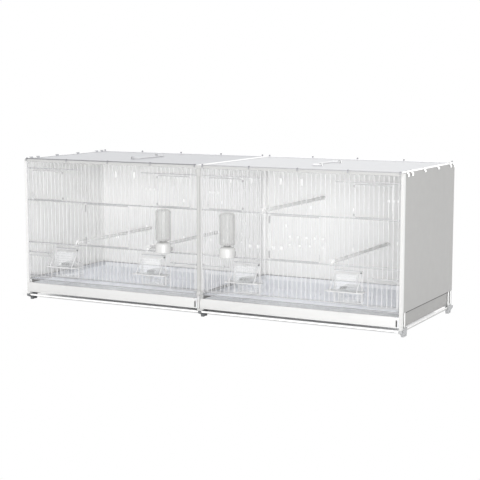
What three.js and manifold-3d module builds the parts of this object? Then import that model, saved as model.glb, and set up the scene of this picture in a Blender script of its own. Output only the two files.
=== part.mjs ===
// Breeding cage with two compartments, in millimetres, +Z up.
// X runs along the front, Y from the front grilles to the backs, Z up from the floor.
// The origin is at the middle of the overall box, on the floor.
import * as THREE from 'three';
import { mergeVertices } from 'three/addons/utils/BufferGeometryUtils.js';
import Module from 'manifold-3d';

const wasm = await Module();
wasm.setup();

// Carcass
const cageWidth = 1200;
const cageDepth = 413.5;
const roofHeight = 427;
const sheet = 1;
const seat = 0.3;
const sideRailRise = 5;
const ledgeHeight = 64;
const ledgeWidth = 10;
const lipDrop = 6;

// Front wires
const barSpaces = 44;
const barWire = 2;
const lineWire = 2.4;
const railWire = 3.2;
const bottomRailHeight = 78;
const thirdRailHeight = 178.5;
const secondRailHeight = 305.5;
const nestGuideDrop = 26;
const cornerLineHeight = 149;
const feederLineHeight = 167;
const feederLedgeHeight = 115;
const leafGap = 0.8;

// Bars, counted from the middle of a compartment, that bound each opening
const nestBars = [12, 20];
const nestGuideBar = 8;
const cornerBar = 15;
const feederBars = [8, 14];
const middleBars = [-6, 5];

// Posts
const postReach = 7;
const postDepth = 15.6;
const postWeb = 4.9;
const rearFlange = 13.5;

// Base
const baseWire = 6;
const baseWireHeight = 16;
const legWire = 5;
const legInset = 30;
const legRearInset = 25.5;
const runnerHeight = 25;
const runnerWidth = 10;
const footLength = 36;
const footWidth = 12;
const footToe = 8;
const footToeRun = 22;
const footNotch = [6, 7];

// Trays, grids and divider
const trayTop = 55;
const trayWall = 28;
const traySlot = 3.5;
const trayCorner = 8;
const trayRearGap = 16.5;
const gridPitch = 12.4;
const gridRearGap = 14.5;
const dividerWire = 3;
const dividerStrip = 6.6;
const dividerPitch = 13.5;
const dividerBlocks = [12, 22];

// Doors
const nestDoorDrop = 4.5;
const cornerDoorTop = 141;
const cornerDoorBottom = 74;
const eyeWall = 1.4;
const eyeClear = 0.35;
const eyeSides = 5;
const nestEye = 6;
const middleEye = 20;
const latchLength = 20;
const latchWire = 2;

// Feeders, centred on their openings
const ledgePlate = 2.4;
const ledgeSize = [105, 34];
const hopperWidth = 62;
const hopperDepth = [28, 16];
const hopperTop = 158;
const neckWidth = 46;
const neckHeight = 9;
const hoodWidth = 58;
const hoodHeight = 45;
const hoodDepth = 37;
const hoodCorner = 16;
const clearWall = 1.5;
const mouthSize = [46, 26];
const mouthSill = 11;
const strutWire = 2.4;
const knobSize = 7;

// Drinkers
const drinkerSpaceFromBar = 14;
const cupSides = 10;
const cupRadius = 22;
const cupShoulder = 18;
const cupHeight = 31;
const bottleRadius = 22;
const bottleLength = 92;
const bottleNeck = 9.5;
const drinkerOffset = 26;
const spoutSize = [9, 18, 12];

// Perches, as bars from the middle of a compartment and the rail that carries them
const perchWire = 10;
const perchCollar = 14;
const perchHook = 3;

// Roof fittings
const handleWire = 4;
const handleSpan = 148;
const handleReach = 24;
const handlePin = 16;
const handleOffset = 6;
const eyeWidth = 6;
const rodWire = 2.5;
const clipCount = 5;
const clipWidth = 3;
const clipSheet = 1.6;
const clipDrop = 5;
const tabWidth = 13;
const tabDrop = 8;
const stripWidth = 18;

// Places along the roof's side, as shares of the depth
const tabShares = [0.066, 0.145, 0.38, 0.646, 0.9, 0.97];

// Holes in each back as shares of the compartment's width and the roof's height
const slotSize = [7, 20];
const holeSize = [6, 6];
const ventSize = [10, 10];
const smallSlotSize = [4, 9];
const slotShares = [[-0.415, 0.829], [-0.298, 0.829], [0.298, 0.829], [0.415, 0.829]];
const holeShares = [
  [-0.22, 0.728], [-0.195, 0.728], [-0.17, 0.728], [0.17, 0.728], [0.195, 0.728], [0.22, 0.728],
  [-0.363, 0.436], [-0.317, 0.436], [-0.27, 0.436], [-0.223, 0.436], [-0.177, 0.436],
  [-0.363, 0.375], [-0.307, 0.375], [-0.252, 0.375],
];
const ventShares = [[-0.455, 0.349], [-0.41, 0.349], [0.41, 0.349], [0.455, 0.349]];
const smallSlotShares = [
  [-0.245, 0.655], [-0.013, 0.655], [-0.385, 0.513], [-0.177, 0.377], [-0.013, 0.375], [0.22, 0.438],
];

// Sizes that follow
const halfWidth = cageWidth / 2;
const halfModule = halfWidth / 2;
const barPitch = halfWidth / barSpaces;
const nestGuideHeight = roofHeight - nestGuideDrop;
const nestDoorTop = nestGuideHeight - nestDoorDrop;
const trayRun = cageDepth - trayRearGap;
const gridRun = cageDepth - gridRearGap;
const legPlaces = [legInset, cageDepth - legRearInset];
const lastBar = barSpaces / 2 - 1;
const topRailHeight = roofHeight - seat - railWire / 2;
const grilleHalf = halfModule - postWeb - seat;
const postFront = -railWire / 2 - seat - sheet;
const postBack = postFront + postDepth;
const postTop = roofHeight - seat;
const baseTop = baseWireHeight + baseWire / 2;
const sideOuter = halfWidth - sheet - seat;
const sideInner = sideOuter - sheet;
const ringHalf = halfWidth - baseWire / 2;
const ringFront = baseWire / 2;
const ringBack = cageDepth - baseWire / 2;
const roofTop = roofHeight + sheet;
const roofFront = postFront - seat - sheet;
const roofBack = cageDepth + seat + sheet;
const lipBottom = roofHeight - lipDrop;
const sideTop = roofTop + sideRailRise - sheet;
const skirtOuter = ringHalf - legWire / 2 - seat;
const beamHalf = legWire / 2 + sheet / 2;
const dividerTop = lipBottom - seat;
const drinkerX = (drinkerSpaceFromBar + 1 / 2) * barPitch;
const feederX = (feederBars[0] + feederBars[1]) / 2 * barPitch;
const cutPast = 5;
const cornerSteps = 3;

// Finishes
const paint = new THREE.MeshStandardMaterial({ color: 0xe9e9ea, roughness: 0.5, metalness: 0.1 });
const roofPaint = new THREE.MeshStandardMaterial({ color: 0xdfe0e5, roughness: 0.5, metalness: 0.1 });
const white = new THREE.MeshStandardMaterial({ color: 0xf4f4f2, roughness: 0.4, metalness: 0.0 });
const wirePaint = new THREE.MeshStandardMaterial({ color: 0xd4d5d8, roughness: 0.4, metalness: 0.4 });
const steel = new THREE.MeshStandardMaterial({ color: 0x8b8c90, roughness: 0.35, metalness: 0.9 });
const footPlastic = new THREE.MeshStandardMaterial({ color: 0x686a6c, roughness: 0.6, metalness: 0.0 });
const perchPlastic = new THREE.MeshStandardMaterial({ color: 0xc9c9c8, roughness: 0.6, metalness: 0.0 });
const clear = new THREE.MeshStandardMaterial({
  color: 0xdfe5ea, roughness: 0.15, metalness: 0.0, transparent: true, opacity: 0.5,
});
for (const finish of [paint, roofPaint, white, wirePaint, steel, footPlastic, perchPlastic, clear]) {
  finish.flatShading = true;
}

// A closed geometry as a solid that can be joined and cut
function toSolid(geometry) {
  const bare = geometry.clone();
  bare.deleteAttribute('normal');
  bare.deleteAttribute('uv');
  const merged = mergeVertices(bare);
  return new wasm.Manifold(new wasm.Mesh({
    numProp: 3,
    vertProperties: new Float32Array(merged.attributes.position.array),
    triVerts: new Uint32Array(merged.index.array),
  }));
}

function toGeometry(body) {
  const mesh = body.getMesh();
  const geometry = new THREE.BufferGeometry();
  geometry.setAttribute('position', new THREE.BufferAttribute(mesh.vertProperties, mesh.numProp));
  geometry.setIndex(new THREE.BufferAttribute(mesh.triVerts, 1));
  return geometry;
}

const join = (solids) => wasm.Manifold.union(solids);

// The same geometry on the other side of the plane x = 0
function mirrored(geometry) {
  const other = geometry.clone();
  other.scale(-1, 1, 1);
  const order = other.index.array;
  for (let i = 0; i < order.length; i += 3) {
    [order[i], order[i + 1]] = [order[i + 1], order[i]];
  }
  return other;
}

// Box between two corners, given as ranges along X, Y and Z
function box([x0, x1], [y0, y1], [z0, z1]) {
  const geometry = new THREE.BoxGeometry(x1 - x0, y1 - y0, z1 - z0);
  geometry.translate((x0 + x1) / 2, (y0 + y1) / 2, (z0 + z1) / 2);
  return toSolid(geometry);
}

// A shape drawn in X and Y, run upwards
function alongZ(shape, [z0, z1]) {
  const geometry = new THREE.ExtrudeGeometry(shape, { depth: z1 - z0, bevelEnabled: false });
  geometry.translate(0, 0, z0);
  return toSolid(geometry);
}

// A shape drawn in X and Z, run from front to back
function alongY(shape, [y0, y1]) {
  const geometry = new THREE.ExtrudeGeometry(shape, {
    depth: y1 - y0, bevelEnabled: false, curveSegments: cornerSteps,
  });
  geometry.rotateX(Math.PI / 2);
  geometry.translate(0, y1, 0);
  return toSolid(geometry);
}

// A shape drawn in Y and Z, run from left to right
function alongX(shape, [x0, x1]) {
  const geometry = new THREE.ExtrudeGeometry(shape, { depth: x1 - x0, bevelEnabled: false });
  geometry.rotateX(Math.PI / 2);
  geometry.rotateZ(Math.PI / 2);
  geometry.translate(x0, 0, 0);
  return toSolid(geometry);
}

const outline = (points) => new THREE.Shape(points.map(([u, v]) => new THREE.Vector2(u, v)));

function regular(radius, sides, [u, v] = [0, 0]) {
  const points = [];
  for (let i = 0; i < sides; i += 1) {
    const angle = (i + 1 / 2) / sides * 2 * Math.PI;
    points.push([u + radius * Math.cos(angle), v + radius * Math.sin(angle)]);
  }
  return points;
}

// Straight round rod between two points
function rod(from, to, diameter, sides = 6) {
  const start = new THREE.Vector3(...from);
  const along = new THREE.Vector3(...to).sub(start);
  const length = along.length();
  const geometry = new THREE.CylinderGeometry(diameter / 2, diameter / 2, length, sides);
  geometry.translate(0, length / 2, 0);
  const turn = new THREE.Quaternion().setFromUnitVectors(new THREE.Vector3(0, 1, 0), along.normalize());
  geometry.applyQuaternion(turn);
  geometry.translate(start.x, start.y, start.z);
  return toSolid(geometry);
}

// Round body about a vertical line at (x, y)
function turned(points, [x, y], sides) {
  const geometry = new THREE.LatheGeometry(points.map(([r, z]) => new THREE.Vector2(r, z)), sides);
  geometry.rotateX(Math.PI / 2);
  geometry.translate(x, y, 0);
  return toSolid(geometry);
}

// Square wires of the fronts, the grids and the divider
const around = (place, wire) => [place - wire / 2, place + wire / 2];
const wireAlongX = (span, y, z, wire) => box(span, around(y, wire), around(z, wire));
const wireAlongY = (x, span, z, wire) => box(around(x, wire), span, around(z, wire));
const wireAlongZ = (x, y, span, wire) => box(around(x, wire), around(y, wire), span);

// Thin bars are three-sided, each side as wide as the wire, with an edge to the front or upwards
function barSection([u, v], flatSide) {
  return outline(regular(barWire / Math.sqrt(3), 3, [0, 0]).map(([a, b]) => {
    const [across, depth] = [-b, a];
    return flatSide === 'top' ? [u + across, v - depth] : [u + across, v + depth];
  }));
}

const barAlongZ = (x, y, span) => alongZ(barSection([x, y], 'front'), span);
const barAlongX = (span, y, z) => alongX(barSection([y, z], 'top'), span);
const barX = (index) => index * barPitch;
const sided = (side, near, far) => (side > 0 ? [near, far] : [-far, -near]);

// Openings of a front, in bars and heights, on the right half where both is true
const openings = [
  { bars: nestBars, heights: [secondRailHeight, nestGuideHeight], both: true },
  { bars: [cornerBar, lastBar + 1], heights: [bottomRailHeight, cornerLineHeight], both: true },
  { bars: feederBars, heights: [bottomRailHeight, feederLineHeight], both: true },
  { bars: middleBars, heights: [thirdRailHeight, secondRailHeight], both: false },
];

// Stretches of one bar that the openings leave
function barSpans(index) {
  let spans = [[bottomRailHeight, topRailHeight]];
  for (const { bars: [first, last], heights: [low, high], both } of openings) {
    const place = both ? Math.abs(index) : index;
    if (place > first && place < last) {
      spans = spans.flatMap(([from, to]) => [[from, Math.min(to, low)], [Math.max(from, high), to]]);
      spans = spans.filter(([from, to]) => to > from);
    }
  }
  return spans;
}

// Welded front of one compartment: rails, end wires, guide lines and bars
function frontGrille() {
  const wires = [];
  for (const height of [bottomRailHeight, thirdRailHeight, secondRailHeight, topRailHeight]) {
    wires.push(wireAlongX([-grilleHalf, grilleHalf], 0, height, railWire));
  }
  for (const side of [-1, 1]) {
    const endX = side * (grilleHalf - railWire / 2);
    wires.push(wireAlongZ(endX, 0, [bottomRailHeight, topRailHeight], railWire));
    const guide = sided(side, barX(nestGuideBar), grilleHalf - railWire / 2);
    wires.push(wireAlongX(guide, 0, nestGuideHeight, lineWire));
    const corner = sided(side, barX(cornerBar), grilleHalf - railWire / 2);
    wires.push(wireAlongX(corner, 0, cornerLineHeight, lineWire));
    const feeder = sided(side, barX(feederBars[0]), barX(feederBars[1]));
    wires.push(wireAlongX(feeder, 0, feederLineHeight, lineWire));
  }
  for (let index = -lastBar; index <= lastBar; index += 1) {
    for (const span of barSpans(index)) {
      wires.push(barAlongZ(barX(index), 0, span));
    }
  }
  return toGeometry(join(wires));
}

// Rectangle of wire with uprights at the given places, flat at depth y
function wireLeaf([left, right], [low, high], uprights, y) {
  const edge = lineWire / 2;
  const wires = [
    wireAlongX([left, right], y, low + edge, lineWire),
    wireAlongX([left, right], y, high - edge, lineWire),
    wireAlongZ(left + edge, y, [low, high], lineWire),
    wireAlongZ(right - edge, y, [low, high], lineWire),
  ];
  for (const x of uprights) {
    wires.push(barAlongZ(x, y, [low + edge, high - edge]));
  }
  return wires;
}

const between = ([first, last]) => {
  const places = [];
  for (let index = first + 1; index < last; index += 1) {
    places.push(barX(index));
  }
  return places;
};

// Ring round a wire, able to turn on it
function eyeOutline(wire, centre) {
  const inner = (wire / 2 * Math.SQRT2 + eyeClear) / Math.cos(Math.PI / eyeSides);
  const shape = outline(regular(inner + eyeWall, eyeSides, centre));
  const hole = regular(inner, eyeSides, centre).map(([u, v]) => new THREE.Vector2(u, v));
  shape.holes.push(new THREE.Path(hole));
  return shape;
}

// Spring hook that stands in front of the bar beside a leaf
function latch(barAt, frameAt, low) {
  const front = -barWire / 2 - seat - latchWire / 2;
  const heights = around(low + latchLength / 2, latchWire);
  return [
    box(around(frameAt, latchWire), [front, 0], heights),
    box([frameAt, barAt], around(front, latchWire), heights),
    wireAlongZ(barAt, front, [low, low + latchLength], latchWire),
  ];
}

// Door of a nest opening on the right half, hinged on the bar nearer the middle
function nestDoor() {
  const left = barX(nestBars[0]) + barWire / 2 + leafGap;
  const right = barX(nestBars[1]) - barWire / 2 - leafGap;
  const low = secondRailHeight + railWire / 2 + leafGap;
  const wires = wireLeaf([left, right], [low, nestDoorTop], between(nestBars), 0);
  const eye = eyeOutline(barWire, [barX(nestBars[0]), 0]);
  for (const from of [low + lineWire + seat, nestDoorTop - lineWire - seat - nestEye]) {
    wires.push(alongZ(eye, [from, from + nestEye]));
  }
  wires.push(...latch(barX(nestBars[1]), right - lineWire / 2, low + lineWire));
  return toGeometry(join(wires));
}

// Door between the second and third rails, hinged on its left
function middleDoor() {
  const left = barX(middleBars[0]) + barWire / 2 + leafGap;
  const right = barX(middleBars[1]) - barWire / 2 - leafGap;
  const low = thirdRailHeight + railWire / 2 + leafGap;
  const high = secondRailHeight - railWire / 2 - leafGap;
  const wires = wireLeaf([left, right], [low, high], between(middleBars), 0);
  const eye = eyeOutline(barWire, [barX(middleBars[0]), 0]);
  for (const from of [low + lineWire + seat, high - lineWire - seat - middleEye]) {
    wires.push(alongZ(eye, [from, from + middleEye]));
  }
  wires.push(...latch(barX(middleBars[1]), right - lineWire / 2, low + lineWire));
  return toGeometry(join(wires));
}

// Flap over a corner opening on the right half, hung from the corner line outside the bars
function cornerDoor() {
  const y = -railWire / 2 - seat - lineWire / 2;
  const left = barX(cornerBar) + barWire / 2 + leafGap;
  const right = grilleHalf - railWire - leafGap;
  const uprights = between([cornerBar, lastBar + 1]);
  const wires = wireLeaf([left, right], [cornerDoorBottom, cornerDoorTop], uprights, y);
  const eye = eyeOutline(lineWire, [0, cornerLineHeight]);
  for (const x of [uprights[0], uprights[uprights.length - 1]]) {
    wires.push(alongX(eye, around(x + lineWire, lineWire)));
    wires.push(wireAlongZ(x + lineWire, y, [cornerDoorTop - lineWire, cornerLineHeight], lineWire));
  }
  return toGeometry(join(wires));
}

// Leaf of wire with a ledge and two struts that holds a feeder in its opening
function feederBracket() {
  const half = (feederBars[1] - feederBars[0]) / 2 * barPitch - barWire / 2 - leafGap;
  const low = bottomRailHeight + railWire / 2 + leafGap;
  const high = feederLineHeight - lineWire / 2 - leafGap;
  const wires = wireLeaf([-half, half], [low, high], [], 0);
  const plateLow = feederLedgeHeight - ledgePlate;
  const plateBack = -lineWire / 2 - seat;
  const plateFront = plateBack - ledgeSize[1];
  const heights = [plateLow, feederLedgeHeight];
  wires.push(box([-half, half], [-lineWire, lineWire / 2], heights));
  wires.push(box(around(0, ledgeSize[0]), [plateFront, plateBack], heights));
  for (let index = -2; index <= 2; index += 1) {
    wires.push(barAlongZ(barX(index), 0, [low + lineWire / 2, plateLow + ledgePlate / 2]));
  }
  const strutX = half - lineWire / 2;
  for (const x of [-strutX, strutX]) {
    const foot = [x, plateFront + strutWire / 2, feederLedgeHeight - ledgePlate / 2];
    wires.push(rod([x, 0, high - lineWire], foot, strutWire, 4));
  }
  wires.push(box([strutX - knobSize, strutX], [-knobSize, 0], [high - knobSize, high]));
  return toGeometry(join(wires));
}

// Arch with round shoulders, drawn in X and Z
function archShape(width, [low, high], corner) {
  const shape = new THREE.Shape();
  const half = width / 2;
  shape.moveTo(-half, low);
  shape.lineTo(half, low);
  shape.lineTo(half, high - corner);
  shape.absarc(half - corner, high - corner, corner, 0, Math.PI / 2);
  shape.absarc(corner - half, high - corner, corner, Math.PI / 2, Math.PI);
  return shape;
}

// Seed hopper on the ledge outside the front, with a hooded cup inside
function feeder() {
  const outside = -lineWire - seat;
  const inside = railWire / 2 + seat;
  const base = feederLedgeHeight + seat;
  const [deep, shallow] = hopperDepth;
  const hopper = (inset, low, high) => outline([
    [outside - deep + inset, low], [outside - inset, low], [outside - inset, high],
    [outside - shallow + inset, high],
  ]);
  const hoodLow = bottomRailHeight + railWire / 2 + seat;
  const hoodHigh = hoodLow + hoodHeight;
  const hoodSpan = [inside, inside + hoodDepth];
  const cup = (inset) => archShape(
    hoodWidth - 2 * inset, [hoodLow + inset, hoodHigh - inset], hoodCorner - inset,
  );
  const shell = join([
    alongX(hopper(0, base, hopperTop), around(0, hopperWidth)),
    box(around(0, neckWidth), [outside - clearWall, inside + clearWall], [base, base + neckHeight]),
    alongY(cup(0), hoodSpan),
  ]);
  const throat = [base + clearWall, base + neckHeight - clearWall];
  const mouth = [hoodLow + mouthSill, hoodLow + mouthSill + mouthSize[1]];
  const hollow = join([
    alongX(hopper(clearWall, base + clearWall, hopperTop + cutPast), around(0, hopperWidth - 2 * clearWall)),
    box(around(0, neckWidth - 2 * clearWall), [outside - 2 * clearWall, inside + 2 * clearWall], throat),
    alongY(cup(clearWall), [hoodSpan[0] + clearWall, hoodSpan[1] - clearWall]),
    box(around(0, mouthSize[0]), [hoodSpan[1] - 2 * clearWall, hoodSpan[1] + cutPast], mouth),
  ]);
  return toGeometry(shell.subtract(hollow));
}

// White cup that hooks on the third rail, with its trough reaching in between two bars
function drinkerBase() {
  const low = thirdRailHeight + railWire / 2 + seat;
  const centre = [0, -drinkerOffset];
  const rim = low + cupHeight;
  const neckHole = bottleNeck + seat;
  const body = turned([
    [0, low], [cupRadius - sheet, low], [cupRadius, low + 2 * sheet], [cupRadius, rim - cupHeight / 4],
    [cupShoulder, rim - 2 * sheet], [neckHole + clearWall, rim], [0, rim],
  ], centre, cupSides);
  const hollow = turned([
    [0, low + clearWall], [cupRadius - clearWall, low + clearWall + sheet],
    [cupRadius - clearWall, rim - cupHeight / 4 - sheet], [neckHole, rim - clearWall - 2 * sheet],
    [neckHole, rim + cutPast], [0, rim + cutPast],
  ], centre, cupSides);
  const [width, reach, height] = spoutSize;
  const trough = box(around(0, width), [-drinkerOffset, reach], [low, low + height]);
  const water = box(
    around(0, width - 2 * clearWall), [-drinkerOffset, reach - clearWall],
    [low + clearWall, low + height - clearWall],
  );
  const drink = box(
    around(0, width - 2 * clearWall), [railWire / 2, reach - clearWall],
    [low + clearWall, low + height + cutPast],
  );
  const hookY = railWire / 2 + seat;
  const hook = box(around(0, width), [hookY, hookY + clearWall], [low - railWire, low + clearWall]);
  return toGeometry(join([body, trough, hook]).subtract(join([hollow, water, drink])));
}

// Clear bottle, neck down in the cup
function drinkerBottle() {
  const rim = thirdRailHeight + railWire / 2 + seat + cupHeight;
  const neckLow = rim - cupHeight / 2;
  const low = rim + seat;
  const top = low + bottleLength;
  const slope = bottleLength / 12;
  const outer = [
    [bottleNeck, neckLow], [bottleNeck, low + slope / 2], [bottleRadius, low + 2 * slope],
    [bottleRadius, top - slope], [bottleRadius - slope / 2, top - slope / 4], [0, top],
  ];
  const inner = [
    [0, top - clearWall], [bottleRadius - slope / 2 - clearWall, top - slope / 4 - clearWall],
    [bottleRadius - clearWall, top - slope], [bottleRadius - clearWall, low + 2 * slope],
    [bottleNeck - clearWall, low + slope / 2], [bottleNeck - clearWall, neckLow],
  ];
  const body = turned([...outer, ...inner, outer[0]], [0, -drinkerOffset], cupSides);
  return toGeometry(body);
}

// Perch from a front rail to the back, lying on the rail by a hook
function perch(railHeight) {
  const centre = railHeight + railWire / 2 + seat + perchWire / 2;
  const front = railWire / 2 + 2 * seat;
  const back = cageDepth - sheet - seat;
  const hookLow = centre - perchWire / 2;
  const lip = -railWire / 2 - seat;
  return toGeometry(join([
    rod([0, front, centre], [0, back, centre], perchWire, 8),
    rod([0, front, centre], [0, front + perchHook, centre], perchCollar, 8),
    box(around(0, perchHook), [lip - perchHook / 2, front + perchHook], [hookLow, centre]),
    box(around(0, perchHook), [lip - perchHook / 2, lip], [hookLow - railWire, centre]),
  ]));
}

// Post at the right end: a channel for the grille's end and a slot for the side's edge
function outerPost() {
  const inner = halfWidth - postReach;
  const web = halfWidth - postWeb;
  const rearStop = railWire / 2 + seat;
  const shape = outline([
    [inner, postFront], [halfWidth, postFront], [halfWidth, postBack], [halfWidth - sheet, postBack],
    [halfWidth - sheet, postFront + sheet], [web + sheet, postFront + sheet], [web + sheet, postBack],
    [web, postBack], [web, rearStop + sheet], [inner, rearStop + sheet], [inner, rearStop],
    [web, rearStop], [web, postFront + sheet], [inner, postFront + sheet],
  ]);
  return toGeometry(alongZ(shape, [baseTop + seat, postTop]));
}

// Two channels back to back, bridged at foot and head, with the divider's way between them
function centrePost() {
  const web = postWeb - sheet;
  const rearStop = railWire / 2 + seat;
  const half = (side) => {
    const points = [
      [web, postFront], [postReach, postFront], [postReach, postFront + sheet], [postWeb, postFront + sheet],
      [postWeb, rearStop], [postReach, rearStop], [postReach, rearStop + sheet],
      [postWeb, rearStop + sheet], [postWeb, postBack], [web, postBack],
    ];
    const placed = points.map(([x, y]) => [side * x, y]);
    return outline(side > 0 ? placed : placed.reverse());
  };
  const span = [baseTop + seat, postTop];
  const inset = sheet / 2;
  const bridge = (heights) => box(
    [inset - postWeb, postWeb - inset], [postFront + inset, postBack - inset], heights,
  );
  return toGeometry(join([
    alongZ(half(1), span),
    alongZ(half(-1), span),
    bridge([span[0] + inset, runnerHeight]),
    bridge([dividerTop + 2 * sheet, span[1] - inset]),
  ]));
}

// Right side: sheet with an inward ledge at the foot and a hemmed rail at the head
function sidePanel() {
  const ledge = sideInner - ledgeWidth + sheet;
  const hem = sideOuter - 3 * sheet;
  const low = ledgeHeight - sheet;
  const shape = outline([
    [ledge, low], [sideOuter, low], [sideOuter, sideTop], [hem, sideTop], [hem, roofTop + seat],
    [hem + sheet, roofTop + seat], [hem + sheet, sideTop - sheet], [sideInner, sideTop - sheet],
    [sideInner, ledgeHeight], [ledge, ledgeHeight],
  ]);
  const panel = alongY(shape, [postFront + sheet + seat, cageDepth]);
  const web = halfWidth - postWeb + sheet + seat;
  const heights = [low - cutPast, ledgeHeight + cutPast];
  const notch = box([ledge - cutPast, web], [postFront, postBack + seat], heights);
  return toGeometry(panel.subtract(notch));
}

// Back of the right compartment with its flanges and punched holes
function backPanel() {
  const inner = postWeb + sheet;
  const outer = sideInner - seat;
  const face = cageDepth - sheet;
  const flange = cageDepth - rearFlange;
  const shape = outline([
    [inner, flange], [inner + sheet, flange], [inner + sheet, face], [outer - sheet, face],
    [outer - sheet, flange], [outer, flange], [outer, cageDepth], [inner, cageDepth],
  ]);
  const low = ledgeHeight + seat;
  const panel = alongZ(shape, [low, postTop]);
  const punch = (shares, [width, height]) => shares.map(([across, up]) => box(
    around(halfModule + across * halfWidth, width), [face - sheet, cageDepth + sheet],
    around(up * roofHeight, height),
  ));
  const holes = join([
    ...punch(slotShares, slotSize), ...punch(holeShares, holeSize),
    ...punch(ventShares, ventSize), ...punch(smallSlotShares, smallSlotSize),
  ]);
  return toGeometry(panel.subtract(holes));
}

// Handle's bore height and the distance of its eyes from the middle of the depth
const handleTurn = handleWire / 2 * Math.SQRT2 + seat;
const handleHeight = roofTop + handleTurn;
const handleEye = handleSpan / 2 - handleWire - eyeWidth / 2 - seat;
const roofMiddle = (roofFront + roofBack) / 2;

// Roof of the right compartment: sheet with lips, tabs over the side and two handle eyes
function roofPanel() {
  const edge = sideInner - seat;
  const profile = outline([
    [roofFront, lipBottom], [roofFront + sheet, lipBottom], [roofFront + sheet, roofHeight],
    [roofBack - sheet, roofHeight], [roofBack - sheet, lipBottom], [roofBack, lipBottom],
    [roofBack, roofTop], [roofFront, roofTop],
  ]);
  const bodies = [alongX(profile, [seat / 2, edge])];
  const riser = sideOuter - 3 * sheet - seat;
  const over = sideTop + seat;
  const tab = outline([
    [riser - sheet, roofHeight + sheet / 2], [riser, roofHeight + sheet / 2], [riser, over],
    [halfWidth - sheet, over], [halfWidth - sheet, over - tabDrop], [halfWidth, over - tabDrop],
    [halfWidth, over + sheet], [riser - sheet, over + sheet],
  ]);
  for (const share of tabShares) {
    bodies.push(alongY(tab, around(share * cageDepth, tabWidth)));
  }
  const hingeX = halfModule + handleOffset;
  const foot = roofHeight + sheet / 2;
  const arch = handleTurn + sheet;
  const eye = outline([
    [hingeX - arch - sheet, foot], [hingeX - handleTurn, foot],
    [hingeX - handleTurn, handleHeight + handleTurn], [hingeX + handleTurn, handleHeight + handleTurn],
    [hingeX + handleTurn, foot], [hingeX + arch + sheet, foot], [hingeX + arch, handleHeight + handleTurn],
    [hingeX + handleTurn, handleHeight + arch + sheet / 2],
    [hingeX - handleTurn, handleHeight + arch + sheet / 2],
    [hingeX - arch, handleHeight + handleTurn],
  ]);
  for (const side of [-1, 1]) {
    bodies.push(alongY(eye, around(roofMiddle + side * handleEye, eyeWidth)));
  }
  return toGeometry(join(bodies));
}

// Bail handle lying towards the middle of the cage, its pins in the eyes
function handle() {
  const edge = handleWire / 2;
  const half = handleSpan / 2;
  const pinEnd = half - handlePin;
  const far = -handleReach - edge;
  const shape = outline([
    [-edge, pinEnd], [edge, pinEnd], [edge, half], [far, half], [far, -half], [edge, -half],
    [edge, -pinEnd], [-edge, -pinEnd], [-edge, handleWire - half], [far + handleWire, handleWire - half],
    [far + handleWire, half - handleWire], [-edge, half - handleWire],
  ]);
  return toGeometry(alongZ(shape, [-edge, edge]));
}

// Strip over the joint of the two roofs, turned down at both ends
function jointStrip() {
  const front = roofFront - seat;
  const back = roofBack + seat;
  const low = roofTop + seat;
  const profile = outline([
    [front - sheet, lipBottom], [front, lipBottom], [front, low], [back, low], [back, lipBottom],
    [back + sheet, lipBottom], [back + sheet, low + sheet], [front - sheet, low + sheet],
  ]);
  return toGeometry(alongX(profile, around(0, stripWidth)));
}

// Steel rod on the roof's edge with clips over the lip; rear when back is true
function roofRod(back) {
  const from = stripWidth / 2 + seat;
  const to = sideOuter - 3 * sheet - sheet - 2 * seat;
  const height = roofTop + seat + rodWire / 2;
  const edge = back ? roofBack : roofFront;
  const inward = back ? -1 : 1;
  const rodY = edge + inward * rodWire;
  const face = edge - inward * seat;
  const points = [
    [face - inward * clipSheet, roofTop - clipDrop], [face, roofTop - clipDrop], [face, height],
    [rodY + inward * rodWire / 2, height], [rodY + inward * rodWire / 2, height + rodWire / 2 + clipSheet],
    [face - inward * clipSheet, height + rodWire / 2 + clipSheet],
  ];
  const profile = outline(back ? points.reverse() : points);
  const bodies = [wireAlongX([from, to], rodY, height, rodWire)];
  for (let i = 0; i < clipCount; i += 1) {
    const x = from + clipWidth + (to - from - 2 * clipWidth) * i / (clipCount - 1);
    bodies.push(alongX(profile, around(x, clipWidth)));
  }
  return toGeometry(join(bodies));
}

// Lipped channel that guides the divider at the back
function dividerGuide() {
  const outer = postWeb + sheet - seat;
  const inner = outer - sheet;
  const mouth = dividerWire / 2 + sheet;
  const front = cageDepth - rearFlange;
  const back = cageDepth - sheet - seat;
  const shape = outline([
    [mouth, front], [outer, front], [outer, back], [-outer, back], [-outer, front], [-mouth, front],
    [-mouth, front + sheet], [-inner, front + sheet], [-inner, back - sheet], [inner, back - sheet],
    [inner, front + sheet], [mouth, front + sheet],
  ]);
  return toGeometry(alongZ(shape, [ledgeHeight + seat, postTop]));
}

// Beam on the middle wire: tray runners low, grid ledges high
function centreBeam() {
  const wide = beamHalf + runnerWidth;
  const right = [
    [beamHalf, baseTop + seat], [beamHalf, runnerHeight - sheet], [wide, runnerHeight - sheet],
    [wide, runnerHeight], [beamHalf, runnerHeight], [beamHalf, ledgeHeight - sheet],
    [wide, ledgeHeight - sheet], [wide, ledgeHeight],
  ];
  const left = right.map(([x, z]) => [-x, z]).reverse();
  return toGeometry(alongY(outline([...right, ...left]), [postBack + seat, cageDepth - seat]));
}

// Wire base: ring, middle wire and the legs that carry the sides
function baseFrame() {
  const z = baseWireHeight;
  const legTop = ledgeHeight - sheet - seat;
  const past = ringHalf + baseWire / 2;
  const wires = [
    rod([-past, ringFront, z], [past, ringFront, z], baseWire),
    rod([-past, ringBack, z], [past, ringBack, z], baseWire),
  ];
  for (const x of [-ringHalf, 0, ringHalf]) {
    wires.push(rod([x, ringFront, z], [x, ringBack, z], baseWire));
  }
  for (const x of [-ringHalf, ringHalf]) {
    for (const y of [...legPlaces, ringBack]) {
      wires.push(rod([x, y, z], [x, y, legTop], legWire));
    }
  }
  return toGeometry(join(wires));
}

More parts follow.
